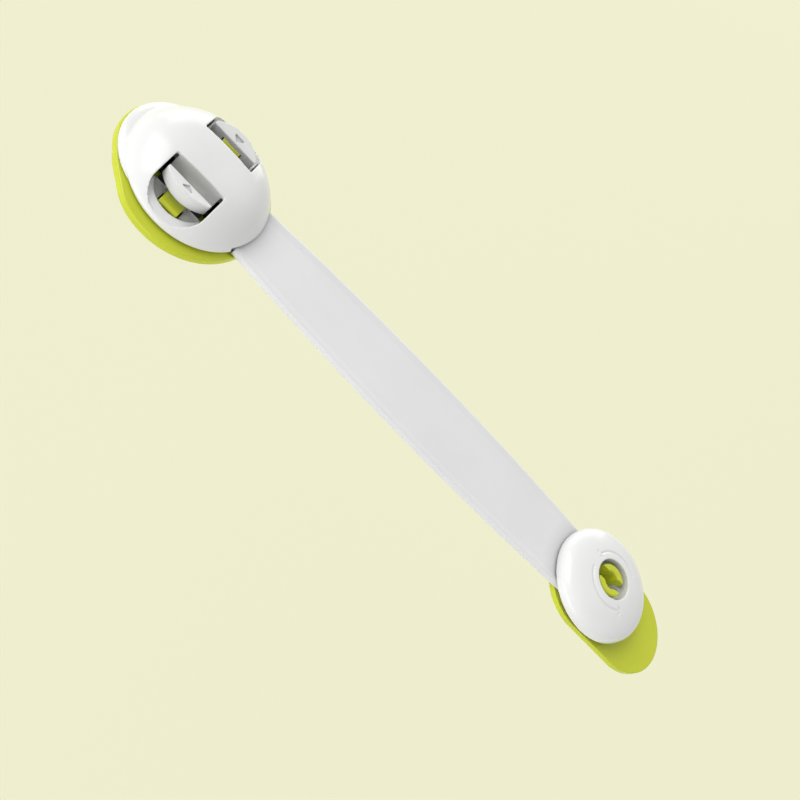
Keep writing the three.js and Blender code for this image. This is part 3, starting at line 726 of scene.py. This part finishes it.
def catch_post():
    bm = bmesh.new()
    profile = [
        (CATCH_INNER_Y, PAD_THICKNESS + GAP),
        (CATCH_OUTER_Y, PAD_THICKNESS + GAP),
        (CATCH_OUTER_Y, CATCH_TOP - CATCH_BEVEL),
        (CATCH_OUTER_Y - CATCH_BEVEL, CATCH_TOP),
        (CATCH_TIP_Y + CATCH_LEAD, CATCH_TOP),
        (CATCH_TIP_Y, CATCH_TOP - CATCH_LEAD),
        (CATCH_TIP_Y, GUIDE_BOTTOM),
        (CATCH_INNER_Y, GUIDE_BOTTOM),
    ]
    bm.faces.new([bm.verts.new((-CATCH_HALF_LENGTH, y, z)) for y, z in profile])
    raised(bm, (2.0 * CATCH_HALF_LENGTH, 0.0, 0.0))
    return made("catch_post", bm)


def latch_foot():
    tray = stacked("foot_tray", foot_outline, [
        (0.0, PAD_THICKNESS),
        (-FOOT_EDGE_STEP / 3.0, FOOT_TOP - FOOT_EDGE_RISE),
        (-FOOT_EDGE_STEP, FOOT_TOP),
    ])
    pocket = peg("pocket", FOOT_POCKET_RADIUS, 0.0, 0.0, FOOT_FLOOR_TOP, FOOT_TOP + GAP)
    strap_half = strap_half_width(FOOT_HALF_LENGTH) + STRAP_FIT
    strap_notch = block(
        "strap_notch", FOOT_POCKET_RADIUS - OVERRUN, FAR, -strap_half, strap_half,
        STRAP_BOTTOM - STRAP_FIT, FAR,
    )
    cut(tray, pocket, strap_notch)
    joined(tray, *both_sides(catch_post()))
    moulded(tray, FOOT_GRAIN, FOOT_PASSES)
    return finished(tray, "latch", leaf_green, "green_plastic", "latch_base")


# Buttons

def push_button():
    """A D-shaped cap on an upright, on a forked slide, on the +Y side."""
    half = BUTTON_HALF_LENGTH
    bow = BUTTON_BULGE - BUTTON_END
    bend = (half ** 2 + bow ** 2) / (2.0 * bow)
    bottom = BUTTON_TOP - BUTTON_DEPTH
    bm = bmesh.new()
    first = bm.verts.new((half, BUTTON_FACE_Y + BUTTON_END, bottom))
    swept = bmesh.ops.spin(
        bm, geom=[first], cent=(0.0, BUTTON_FACE_Y + BUTTON_BULGE - bend, bottom), axis=(0.0, 0.0, 1.0),
        angle=2.0 * math.asin(half / bend), steps=ROUND_STEPS,
    )
    last = points_of(swept["geom_last"])[0]
    near = bm.verts.new((half, BUTTON_FACE_Y, bottom))
    far = bm.verts.new((-half, BUTTON_FACE_Y, bottom))
    for start, end in ((first, near), (near, far), (far, last)):
        bm.edges.new((start, end))
    bmesh.ops.contextual_create(bm, geom=bm.edges[:])
    raised(bm, (0.0, 0.0, BUTTON_DEPTH))
    for point in bm.verts:
        if point.co.z > BUTTON_TOP - GAP:
            point.co.z += BUTTON_LIFT * (point.co.y - BUTTON_FACE_Y) / BUTTON_BULGE
    cap = made("button_form", bm)
    slide_half = SLIDE_HALF_LENGTH
    slide = block("slide", -slide_half, slide_half, SLIDE_INNER_Y, SLIDE_ARM_Y, SLIDE_BOTTOM, SLIDE_TOP)
    upright_end_y = BUTTON_FACE_Y + UPRIGHT_WALL
    upright = block(
        "upright", -UPRIGHT_HALF_LENGTH, UPRIGHT_HALF_LENGTH, BUTTON_FACE_Y, upright_end_y,
        SLIDE_BOTTOM, BUTTON_TOP,
    )
    joined(cap, slide, upright)
    fork = block("fork", -FORK_HALF_SLOT, FORK_HALF_SLOT, FORK_ROOT_Y, FAR, 0.0, SLIDE_TOP + GAP)
    notch_depth = BUTTON_FACE_Y + BUTTON_BULGE - BUTTON_WALL
    notch = block("notch", -FORK_HALF_SLOT, FORK_HALF_SLOT, 0.0, notch_depth, SLIDE_TOP, SLIDE_NOTCH_TOP)
    arrow = plate("press_arrow", [
        (-ARROW_HALF_LENGTH, ARROW_OUTER_Y),
        (0.0, ARROW_INNER_Y),
        (ARROW_HALF_LENGTH, ARROW_OUTER_Y),
    ], BUTTON_TOP - ARROW_DEPTH, BUTTON_TOP + OVERRUN)
    cut(cap, fork, notch, arrow)
    tab_half = SPRING_TAB_HALF_LENGTH
    tab_foot = block(
        "tab_foot", -tab_half, tab_half, SPRING_TAB_Y, SLIDE_INNER_Y + GAP, SLIDE_BOTTOM, SLIDE_TOP,
    )
    tab_end_y = SPRING_TAB_Y + SPRING_TAB_WALL
    tab = block("tab", -tab_half, tab_half, SPRING_TAB_Y, tab_end_y, SLIDE_BOTTOM, SPRING_TAB_TOP)
    joined(cap, tab_foot, tab)
    return moulded(cap, BUTTON_GRAIN, BUTTON_PASSES)


def push_buttons():
    left = push_button()
    left.name = "press_button_left"
    right = across(left, "press_button_right")
    finished(left, "left_button", press_white_shaded, "white_plastic", "button_left")
    finished(right, "right_button", press_white_shaded, "white_plastic", "button_right")


# Button springs

def coil(name, side):
    """A coil wound along Y from the cover's rib to the button's tab."""
    bm = bmesh.new()
    length = SPRING_END_Y - SPRING_START_Y
    bmesh.ops.create_circle(
        bm, cap_ends=True, segments=WIRE_STEPS, radius=SPRING_WIRE_RADIUS,
        matrix=Matrix.Translation((SPRING_RADIUS, SPRING_START_Y, SPRING_AXIS_HEIGHT)),
    )
    steps = COIL_TURN_STEPS * SPRING_TURNS
    bmesh.ops.spin(
        bm, geom=bm.verts[:] + bm.edges[:] + bm.faces[:], cent=(0.0, SPRING_START_Y, SPRING_AXIS_HEIGHT),
        axis=(0.0, 1.0, 0.0), dvec=(0.0, length / steps, 0.0), angle=FULL_TURN * SPRING_TURNS, steps=steps,
    )
    bmesh.ops.scale(bm, vec=(1.0, side, 1.0), verts=bm.verts[:])
    return made(name, bm)


def button_springs():
    for name, side, joint, node in (
        ("coil_left", 1.0, "left_button_press", "button_spring_left"),
        ("coil_right", -1.0, "right_button_press", "button_spring_right"),
    ):
        spring = finished(coil(name, side), "latch", spring_steel, "steel", node)
        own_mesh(spring)


# Strap: one soft band, made in lengths that each span one hinge

def strap_band(name, x0, x1):
    """A length of strap with a low lip along its edges.

    A short tongue at its far end narrows a little and runs on inside the next length.
    """
    bm = bmesh.new()
    half = strap_half_width(x0)
    lip = half - STRAP_LIP_WIDTH
    dish = lip - STRAP_LIP_SLOPE
    dish_top = STRAP_TOP - STRAP_LIP_HEIGHT
    outline = [(half, STRAP_BOTTOM), (half, STRAP_TOP), (lip, STRAP_TOP)]
    outline += [(dish, dish_top), (dish - STRAP_LIP_CREASE, dish_top)]
    outline += [(-y, z) for y, z in reversed(outline)]
    bm.faces.new([bm.verts.new((x0, y, z)) for y, z in outline])
    outer = [point for point in bm.verts if abs(point.co.y) > half - STRAP_EDGE_ROUND]
    bmesh.ops.bevel(
        bm, geom=outer, offset=STRAP_EDGE_ROUND, affect="VERTICES", segments=STRAP_EDGE_SEGMENTS,
        profile=ROUND_PROFILE, material=-1,
    )
    flat = [edge for edge in bm.edges if edge.calc_length() > half]
    bmesh.ops.subdivide_edges(bm, edges=flat, cuts=STRAP_FLAT_CUTS)
    first_end = [edge for edge in bm.edges if edge.is_boundary]
    edges = first_end
    rows = round((x1 - x0) / STRAP_ROW)
    before = half
    for row in range(1, rows + 1):
        x = x0 + (x1 - x0) * row / rows
        wide = strap_half_width(x)
        points, edges = pulled(bm, edges)
        edge_of_flat = before - STRAP_EDGE_ROUND
        grow = (wide - STRAP_EDGE_ROUND) / edge_of_flat
        for point in points:
            y = point.co.y
            if abs(y) > edge_of_flat:
                y = y + (wide - before) * math.copysign(1.0, y)
            else:
                y = y * grow
            point.co = Vector((x, y, point.co.z))
        before = wide
    points, edges = pulled(bm, edges)
    bmesh.ops.translate(bm, vec=(STRAP_OVERLAP, 0.0, 0.0), verts=points)
    middle = (STRAP_BOTTOM + STRAP_TOP) / 2.0
    for point in points:
        point.co.y -= math.copysign(STRAP_TUCK, point.co.y)
        point.co.z -= math.copysign(STRAP_TUCK, point.co.z - middle)
    bmesh.ops.contextual_create(bm, geom=edges)
    for edge in first_end + edges:
        edge.smooth = False
    return made(name, bm)


def strap_tongue():
    half = strap_half_width(STRAP_START_X) - STRAP_EDGE_ROUND
    tongue = block("strap_tongue", TONGUE_START_X, STRAP_START_X, -half, half, TONGUE_BOTTOM, STRAP_TOP)
    holes = [peg("hole", BOSS_RADIUS + GAP, SCREW_X, y, 0.0, FAR) for y in (SCREW_Y, -SCREW_Y)]
    cut(tongue, *holes)
    moulded(tongue, STRAP_GRAIN, STRAP_PASSES)
    return finished(tongue, "latch", strap_white, "strap_rubber", "strap_root")


def strap_eye():
    half = strap_half_width(STRAP_EYE_START_X)
    eye = peg("strap_eye", EYE_RADIUS, SWIVEL_X, 0.0, STRAP_BOTTOM, STRAP_TOP)
    joined(eye, block("eye_root", STRAP_EYE_START_X, SWIVEL_X, -half, half, STRAP_BOTTOM, STRAP_TOP))
    pegs = [peg("peg_hole", PEG_RADIUS + GAP, SWIVEL_X, y, 0.0, FAR) for y in (PEG_Y, -PEG_Y)]
    cut(eye, peg("eye_hole", EYE_HOLE_RADIUS, SWIVEL_X, 0.0, 0.0, FAR), *pegs)
    moulded(eye, STRAP_GRAIN, STRAP_PASSES)
    return finished(eye, "strap_end", strap_white, "strap_rubber", "strap_tail")


def strap_lengths():
    """Each length spans one hinge and is made and finished in place; nothing here bends it.

    The end ones are split there, so that they run straight into the strap's ends.
    """
    nodes = [f"strap_link_{number}" for number in range(1, HINGE_COUNT)] + ["strap_tail"]
    for number in range(HINGE_COUNT):
        hinge = FIRST_HINGE_X + HINGE_PITCH * number
        x0 = hinge - HINGE_PITCH / 2.0
        x1 = hinge + HINGE_PITCH / 2.0
        spans = [("", x0, x1, BEND_REACH)]
        if number == 0:
            spans = [("_root", STRAP_START_X, hinge, END_BEND_REACH), ("", hinge, x1, BEND_REACH)]
        if number == HINGE_COUNT - 1:
            spans = [("", x0, hinge, BEND_REACH), ("_tail", hinge, STRAP_EYE_START_X, END_BEND_REACH)]
        for end, first, last, reach in spans:
            band = to_metres(strap_band(f"strap_band_{number + 1}{end}", first, last))
            band.data.materials.append(strap_white)
            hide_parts(nodes[number])
            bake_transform(band)


# Swivel foot and its split post

def swivel_foot():
    bm = bmesh.new()
    bmesh.ops.create_circle(
        bm, cap_ends=True, segments=PLAN_STEPS, radius=SWIVEL_HALF_WIDTH,
        matrix=Matrix.Translation((SWIVEL_X, 0.0, PAD_THICKNESS)),
    )
    ahead = [point for point in bm.verts if point.co.x > SWIVEL_X + HAIR]
    bmesh.ops.translate(bm, verts=ahead, vec=(SWIVEL_LENGTH, 0.0, 0.0))
    raised(bm, (0.0, 0.0, SWIVEL_TOP - PAD_THICKNESS))
    foot = made("swivel_foot_plate", bm)
    post = turned("post", [
        (POST_BORE, PAD_THICKNESS + GAP),
        (POST_RADIUS, PAD_THICKNESS + GAP),
        (POST_RADIUS, HOOK_BOTTOM),
        (HOOK_RADIUS, HOOK_BOTTOM),
        (HOOK_RADIUS, HOOK_TOP - HOOK_LEAD),
        (HOOK_RADIUS - HOOK_LEAD, HOOK_TOP),
        (POST_BORE + HOOK_LEAD, HOOK_TOP),
        (POST_BORE, HOOK_TOP - HOOK_LEAD),
    ], SWIVEL_X, closed=True, steps=ROUND_STEPS)
    half = POST_SLOT / 2.0
    cut(post, block("slot", SWIVEL_X - FAR, SWIVEL_X + FAR, -half, half, SWIVEL_TOP, FAR))
    joined(foot, post)
    moulded(foot, SWIVEL_GRAIN, SWIVEL_PASSES)
    return finished(foot, "swivel_foot", leaf_green, "green_plastic", "swivel_base")


# Swivel cap

def cap_height(radius):
    share = (radius - CAP_HOLE_RADIUS) / (CAP_RADIUS - CAP_HOLE_RADIUS)
    lift = (1.0 - share ** CAP_PLAN_POWER) ** (1.0 / CAP_RISE_POWER)
    return CAP_SKIRT_TOP + (CAP_TOP - CAP_SKIRT_TOP) * lift


def cap_form(name, wall, bottom):
    reach = CAP_RADIUS - CAP_HOLE_RADIUS - wall
    profile = [(0.0, bottom), (CAP_RADIUS - wall, bottom)]
    for row in range(DOME_ROWS):
        share = math.cos(row / DOME_ROWS * HALF_TURN / 2.0)
        lift = (1.0 - share ** CAP_PLAN_POWER) ** (1.0 / CAP_RISE_POWER)
        height = CAP_SKIRT_TOP + (CAP_TOP - wall - CAP_SKIRT_TOP) * lift
        profile.append((CAP_HOLE_RADIUS + reach * share, height))
    profile.append((CAP_HOLE_RADIUS, CAP_TOP - wall))
    profile.append((0.0, CAP_TOP - wall))
    return turned(name, profile, CAP_X)


def turn_mark(name, start, sweep):
    """A shallow groove round part of the cap's hole, as deep all along."""
    inner = TURN_MARK_RADIUS - TURN_MARK_HALF_WIDTH
    outer = TURN_MARK_RADIUS + TURN_MARK_HALF_WIDTH
    bm = bmesh.new()
    section = [
        (inner, cap_height(inner) - TURN_MARK_DEPTH),
        (outer, cap_height(outer) - TURN_MARK_DEPTH),
        (outer, CAP_TOP + OVERRUN),
        (inner, CAP_TOP + OVERRUN),
    ]
    along = Vector((math.cos(start), math.sin(start), 0.0))
    points = [bm.verts.new((CAP_X + along.x * r, along.y * r, z)) for r, z in section]
    face = bm.faces.new(points)
    bmesh.ops.spin(
        bm, geom=[face], cent=(CAP_X, 0.0, 0.0), axis=(0.0, 0.0, 1.0), angle=sweep, steps=ROUND_STEPS // 2,
    )
    return made(name, bm)


def turn_arrow(name, angle):
    """The two strokes of an anticlockwise arrow's head, sunk as deep as its groove."""
    middle = cap_height(TURN_MARK_RADIUS) - TURN_MARK_DEPTH
    half_span = TURN_SLOPE_SPAN / 2.0
    rise = cap_height(TURN_MARK_RADIUS + half_span) - cap_height(TURN_MARK_RADIUS - half_span)
    slope = math.atan2(rise, TURN_SLOPE_SPAN)
    bm = bmesh.new()
    for side in (1.0, -1.0):
        corners = [
            (-side * TURN_HEAD_OVERLAP, TURN_HEAD_REACH),
            (-side * TURN_HEAD_OVERLAP, TURN_HEAD_REACH - TURN_HEAD_WIDTH),
            (side * TURN_HEAD_SPREAD, -TURN_HEAD_WIDTH / 2.0),
            (side * TURN_HEAD_SPREAD, TURN_HEAD_WIDTH / 2.0),
        ]
        bm.faces.new([bm.verts.new((x, y, 0.0)) for x, y in corners])
    raised(bm, (0.0, 0.0, TURN_HEAD_RAISE))
    tilt = Matrix.Rotation(-slope, 4, "Y")
    out = Matrix.Translation((TURN_MARK_RADIUS, 0.0, middle))
    round_axis = Matrix.Rotation(angle, 4, "Z")
    to_cap = Matrix.Translation((CAP_X, 0.0, 0.0))
    bmesh.ops.transform(bm, matrix=to_cap @ round_axis @ out @ tilt, verts=bm.verts[:])
    return made(name, bm)


def swivel_cap():
    shell = cap_form("cap_shell", 0.0, CAP_RIM)
    cut(shell, cap_form("cap_hollow", CAP_WALL, CAP_RIM - GAP))
    hub = peg("hub", CAP_HUB_RADIUS, SWIVEL_X, 0.0, STRAP_TOP + GAP, FAR)
    pegs = [peg("eye_peg", PEG_RADIUS, SWIVEL_X, y, STRAP_BOTTOM + GAP, FAR) for y in (PEG_Y, -PEG_Y)]
    inside = kept_within(joined(hub, *pegs), cap_form("cap_limit", 0.0, 0.0))
    joined(shell, inside)
    bore = peg("post_bore", EYE_HOLE_RADIUS, SWIVEL_X, 0.0, 0.0, FAR)
    counterbore = peg("hook_well", CAP_HOLE_RADIUS, SWIVEL_X, 0.0, CAP_LEDGE, FAR)
    strap_half = max(EYE_RADIUS, strap_half_width(SWIVEL_X - CAP_RADIUS)) + GAP
    strap_way = block(
        "strap_way", SWIVEL_X - FAR, SWIVEL_X, -strap_half, strap_half, 0.0, STRAP_TOP + STRAP_FIT,
    )
    kept = [peg("kept_peg", PEG_RADIUS, SWIVEL_X, y, 0.0, FAR) for y in (PEG_Y, -PEG_Y)]
    cut(strap_way, *kept)
    marks = []
    for number, (start, sweep, head) in enumerate(TURN_MARKS, start=1):
        marks.append(turn_mark(f"mark_{number}", math.radians(start), math.radians(sweep)))
        marks.append(turn_arrow(f"mark_head_{number}", math.radians(head)))
    slot_half = POST_SLOT / 2.0
    slot = block(
        "cap_slot", SWIVEL_X - CAP_SLOT_LENGTH, SWIVEL_X + CAP_SLOT_LENGTH, -slot_half, slot_half,
        CAP_SLOT_BOTTOM, FAR,
    )
    cut(shell, bore, counterbore, slot, strap_way, *marks)
    moulded(shell, CAP_GRAIN, CAP_PASSES)
    return finished(shell, "strap_end", cap_white, "white_plastic", "swivel_cap")


# Adhesive foam pads

def latch_foam():
    pad = stacked("latch_foam", foot_outline, [
        (-PAD_INSET - PAD_EDGE_ROUND, 0.0),
        (-PAD_INSET - PAD_CORNER, PAD_CORNER),
        (-PAD_INSET - PAD_BULGE_INSET, PAD_BULGE_SHARE * PAD_THICKNESS),
        (-PAD_INSET - PAD_WAIST_INSET, PAD_THICKNESS / 2.0),
        (-PAD_INSET - PAD_BULGE_INSET, (1.0 - PAD_BULGE_SHARE) * PAD_THICKNESS),
        (-PAD_INSET - PAD_CORNER, PAD_THICKNESS - PAD_CORNER),
        (-PAD_INSET - PAD_EDGE_ROUND, PAD_THICKNESS),
    ])
    finished(pad, "latch", pad_foam, "pad_foam", "latch_pad")


def swivel_foam():
    bm = bmesh.new()
    bmesh.ops.create_circle(
        bm, cap_ends=True, segments=PLAN_STEPS, radius=SWIVEL_HALF_WIDTH - PAD_INSET,
        matrix=Matrix.Translation((SWIVEL_X, 0.0, 0.0)),
    )
    ahead = [point for point in bm.verts if point.co.x > SWIVEL_X + HAIR]
    bmesh.ops.translate(bm, verts=ahead, vec=(SWIVEL_LENGTH, 0.0, 0.0))
    raised(bm, (0.0, 0.0, PAD_THICKNESS))
    rims = [edge for edge in bm.edges if abs(edge.verts[0].co.z - edge.verts[1].co.z) < HAIR]
    bmesh.ops.bevel(
        bm, geom=rims, offset=PAD_EDGE_ROUND, affect="EDGES", segments=PAD_EDGE_SEGMENTS,
        profile=ROUND_PROFILE, material=-1,
    )
    pad = made("swivel_foam", bm)
    finished(pad, "swivel_foot", pad_foam, "pad_foam", "swivel_pad")


def dress_solids():
    """The retainer and its screws keep their solids and only get a finish here."""
    # The retainer's near-black finish is painted shade for the windows' depths.
    finishes = {"button_retainer": dark_shade_plastic}
    for number in range(1, len(screw_places()) + 1):
        finishes[f"retainer_screw_{number}"] = spring_steel
    for name, material in finishes.items():
        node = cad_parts[name]
        node.data.materials.clear()
        node.data.materials.append(material)


latch_cover()
latch_foot()
push_buttons()
button_springs()
strap_tongue()
strap_lengths()
strap_eye()
swivel_foot()
swivel_cap()
latch_foam()
swivel_foam()
dress_solids()


# Camera at the photograph's angle, then floor and lights. Places and sizes here are in metres.

CAMERA_RIGHT = Vector((0.67521, 0.41602, 0.60913))
CAMERA_UP = Vector((-0.69395, 0.63825, 0.33331))
CAMERA_BACK = Vector((-0.25011, -0.64775, 0.71963))
CAMERA_PLACE = Vector((0.00273, -0.18319, 0.20387))
SENSOR_WIDTH_MM = 36.0
LENS_MM = 50.0
NEAREST_SEEN = 0.01
FARTHEST_SEEN = 50.0

BACKDROP = linear(240, 240, 208)
FLOOR_LEVEL = -0.15
FLOOR_HALF = 12.0
FLOOR_BOUNCE = (0.9, 0.9, 0.88)
FLOOR_GLOW = 0.86
WORLD_STRENGTH = 0.58
LIGHT_AIM = Vector((0.06, 0.0, 0.0))


def look():
    camera_data = bpy.data.cameras.new("view")
    camera_data.sensor_width = SENSOR_WIDTH_MM
    camera_data.lens = LENS_MM
    camera_data.clip_start = NEAREST_SEEN
    camera_data.clip_end = FARTHEST_SEEN
    camera = bpy.data.objects.new("view", camera_data)
    turn = Matrix((CAMERA_RIGHT, CAMERA_UP, CAMERA_BACK)).transposed().to_4x4()
    camera.matrix_world = Matrix.Translation(CAMERA_PLACE) @ turn
    bpy.context.scene.collection.objects.link(camera)
    bpy.context.scene.camera = camera


def seen_directly(nodes, links):
    """1 for rays that show the backdrop: from the camera, or mirrored in gloss or seen through."""
    path = nodes.new("ShaderNodeLightPath")
    gloss = nodes.new("ShaderNodeMath")
    gloss.operation = "MAXIMUM"
    links.new(path.outputs["Is Camera Ray"], gloss.inputs[0])
    links.new(path.outputs["Is Glossy Ray"], gloss.inputs[1])
    through = nodes.new("ShaderNodeMath")
    through.operation = "MAXIMUM"
    links.new(gloss.outputs["Value"], through.inputs[0])
    links.new(path.outputs["Is Transmission Ray"], through.inputs[1])
    return through.outputs["Value"]


def floor():
    bm = bmesh.new()
    bmesh.ops.create_grid(
        bm, x_segments=1, y_segments=1, size=FLOOR_HALF, matrix=Matrix.Translation((0.0, 0.0, FLOOR_LEVEL)),
    )
    ground = made("floor", bm)
    material, nodes, links, shader = fresh_material("pale_floor")
    nodes.remove(shader)
    out = nodes["Material Output"]
    lit = nodes.new("ShaderNodeBsdfDiffuse")
    lit.inputs["Color"].default_value = (*FLOOR_BOUNCE, 1.0)
    tinted = nodes.new("ShaderNodeBsdfDiffuse")
    tinted.inputs["Color"].default_value = (*BACKDROP, 1.0)
    glow = nodes.new("ShaderNodeEmission")
    glow.inputs["Color"].default_value = (*BACKDROP, 1.0)
    shown = nodes.new("ShaderNodeMixShader")
    shown.inputs["Fac"].default_value = FLOOR_GLOW
    links.new(tinted.outputs["BSDF"], shown.inputs[1])
    links.new(glow.outputs["Emission"], shown.inputs[2])
    choose = nodes.new("ShaderNodeMixShader")
    links.new(seen_directly(nodes, links), choose.inputs["Fac"])
    links.new(lit.outputs["BSDF"], choose.inputs[1])
    links.new(shown.outputs["Shader"], choose.inputs[2])
    links.new(choose.outputs["Shader"], out.inputs["Surface"])
    ground.data.materials.append(material)


def studio():
    world = bpy.data.worlds.new("studio")
    bpy.context.scene.world = world
    world.use_nodes = True
    nodes = world.node_tree.nodes
    links = world.node_tree.links
    nodes.clear()
    out = nodes.new("ShaderNodeOutputWorld")
    soft = nodes.new("ShaderNodeBackground")
    soft.inputs["Color"].default_value = (1.0, 1.0, 1.0, 1.0)
    soft.inputs["Strength"].default_value = WORLD_STRENGTH
    shown = nodes.new("ShaderNodeBackground")
    shown.inputs["Color"].default_value = (*BACKDROP, 1.0)
    shown.inputs["Strength"].default_value = 1.0
    choose = nodes.new("ShaderNodeMixShader")
    path = nodes.new("ShaderNodeLightPath")
    links.new(path.outputs["Is Camera Ray"], choose.inputs["Fac"])
    links.new(soft.outputs["Background"], choose.inputs[1])
    links.new(shown.outputs["Background"], choose.inputs[2])
    links.new(choose.outputs["Shader"], out.inputs["Surface"])


def softbox(name, azimuth, elevation, distance, width, height, power):
    """A rectangular lamp that faces the lock. Angles are in degrees and power is in watts."""
    data = bpy.data.lights.new(name, "AREA")
    data.shape = "RECTANGLE"
    data.size = width
    data.size_y = height
    data.energy = power
    lamp = bpy.data.objects.new(name, data)
    turn = math.radians(azimuth)
    tilt = math.radians(elevation)
    away = Vector((math.cos(tilt) * math.cos(turn), math.cos(tilt) * math.sin(turn), math.sin(tilt)))
    lamp.location = LIGHT_AIM + away * distance
    lamp.rotation_euler = away.to_track_quat("Z", "Y").to_euler()
    bpy.context.scene.collection.objects.link(lamp)


look()
floor()
studio()
softbox("left_softbox", azimuth=180.0, elevation=40.0, distance=2.5, width=2.2, height=1.6, power=30.0)
softbox("back_softbox", azimuth=105.0, elevation=10.0, distance=1.2, width=1.4, height=0.7, power=4.6)
softbox("front_fill", azimuth=-80.0, elevation=28.0, distance=1.2, width=0.8, height=0.8, power=0.3)
softbox("low_fill", azimuth=-115.0, elevation=-4.0, distance=1.0, width=1.0, height=0.25, power=2.8)

bpy.context.scene.view_settings.view_transform = "Standard"
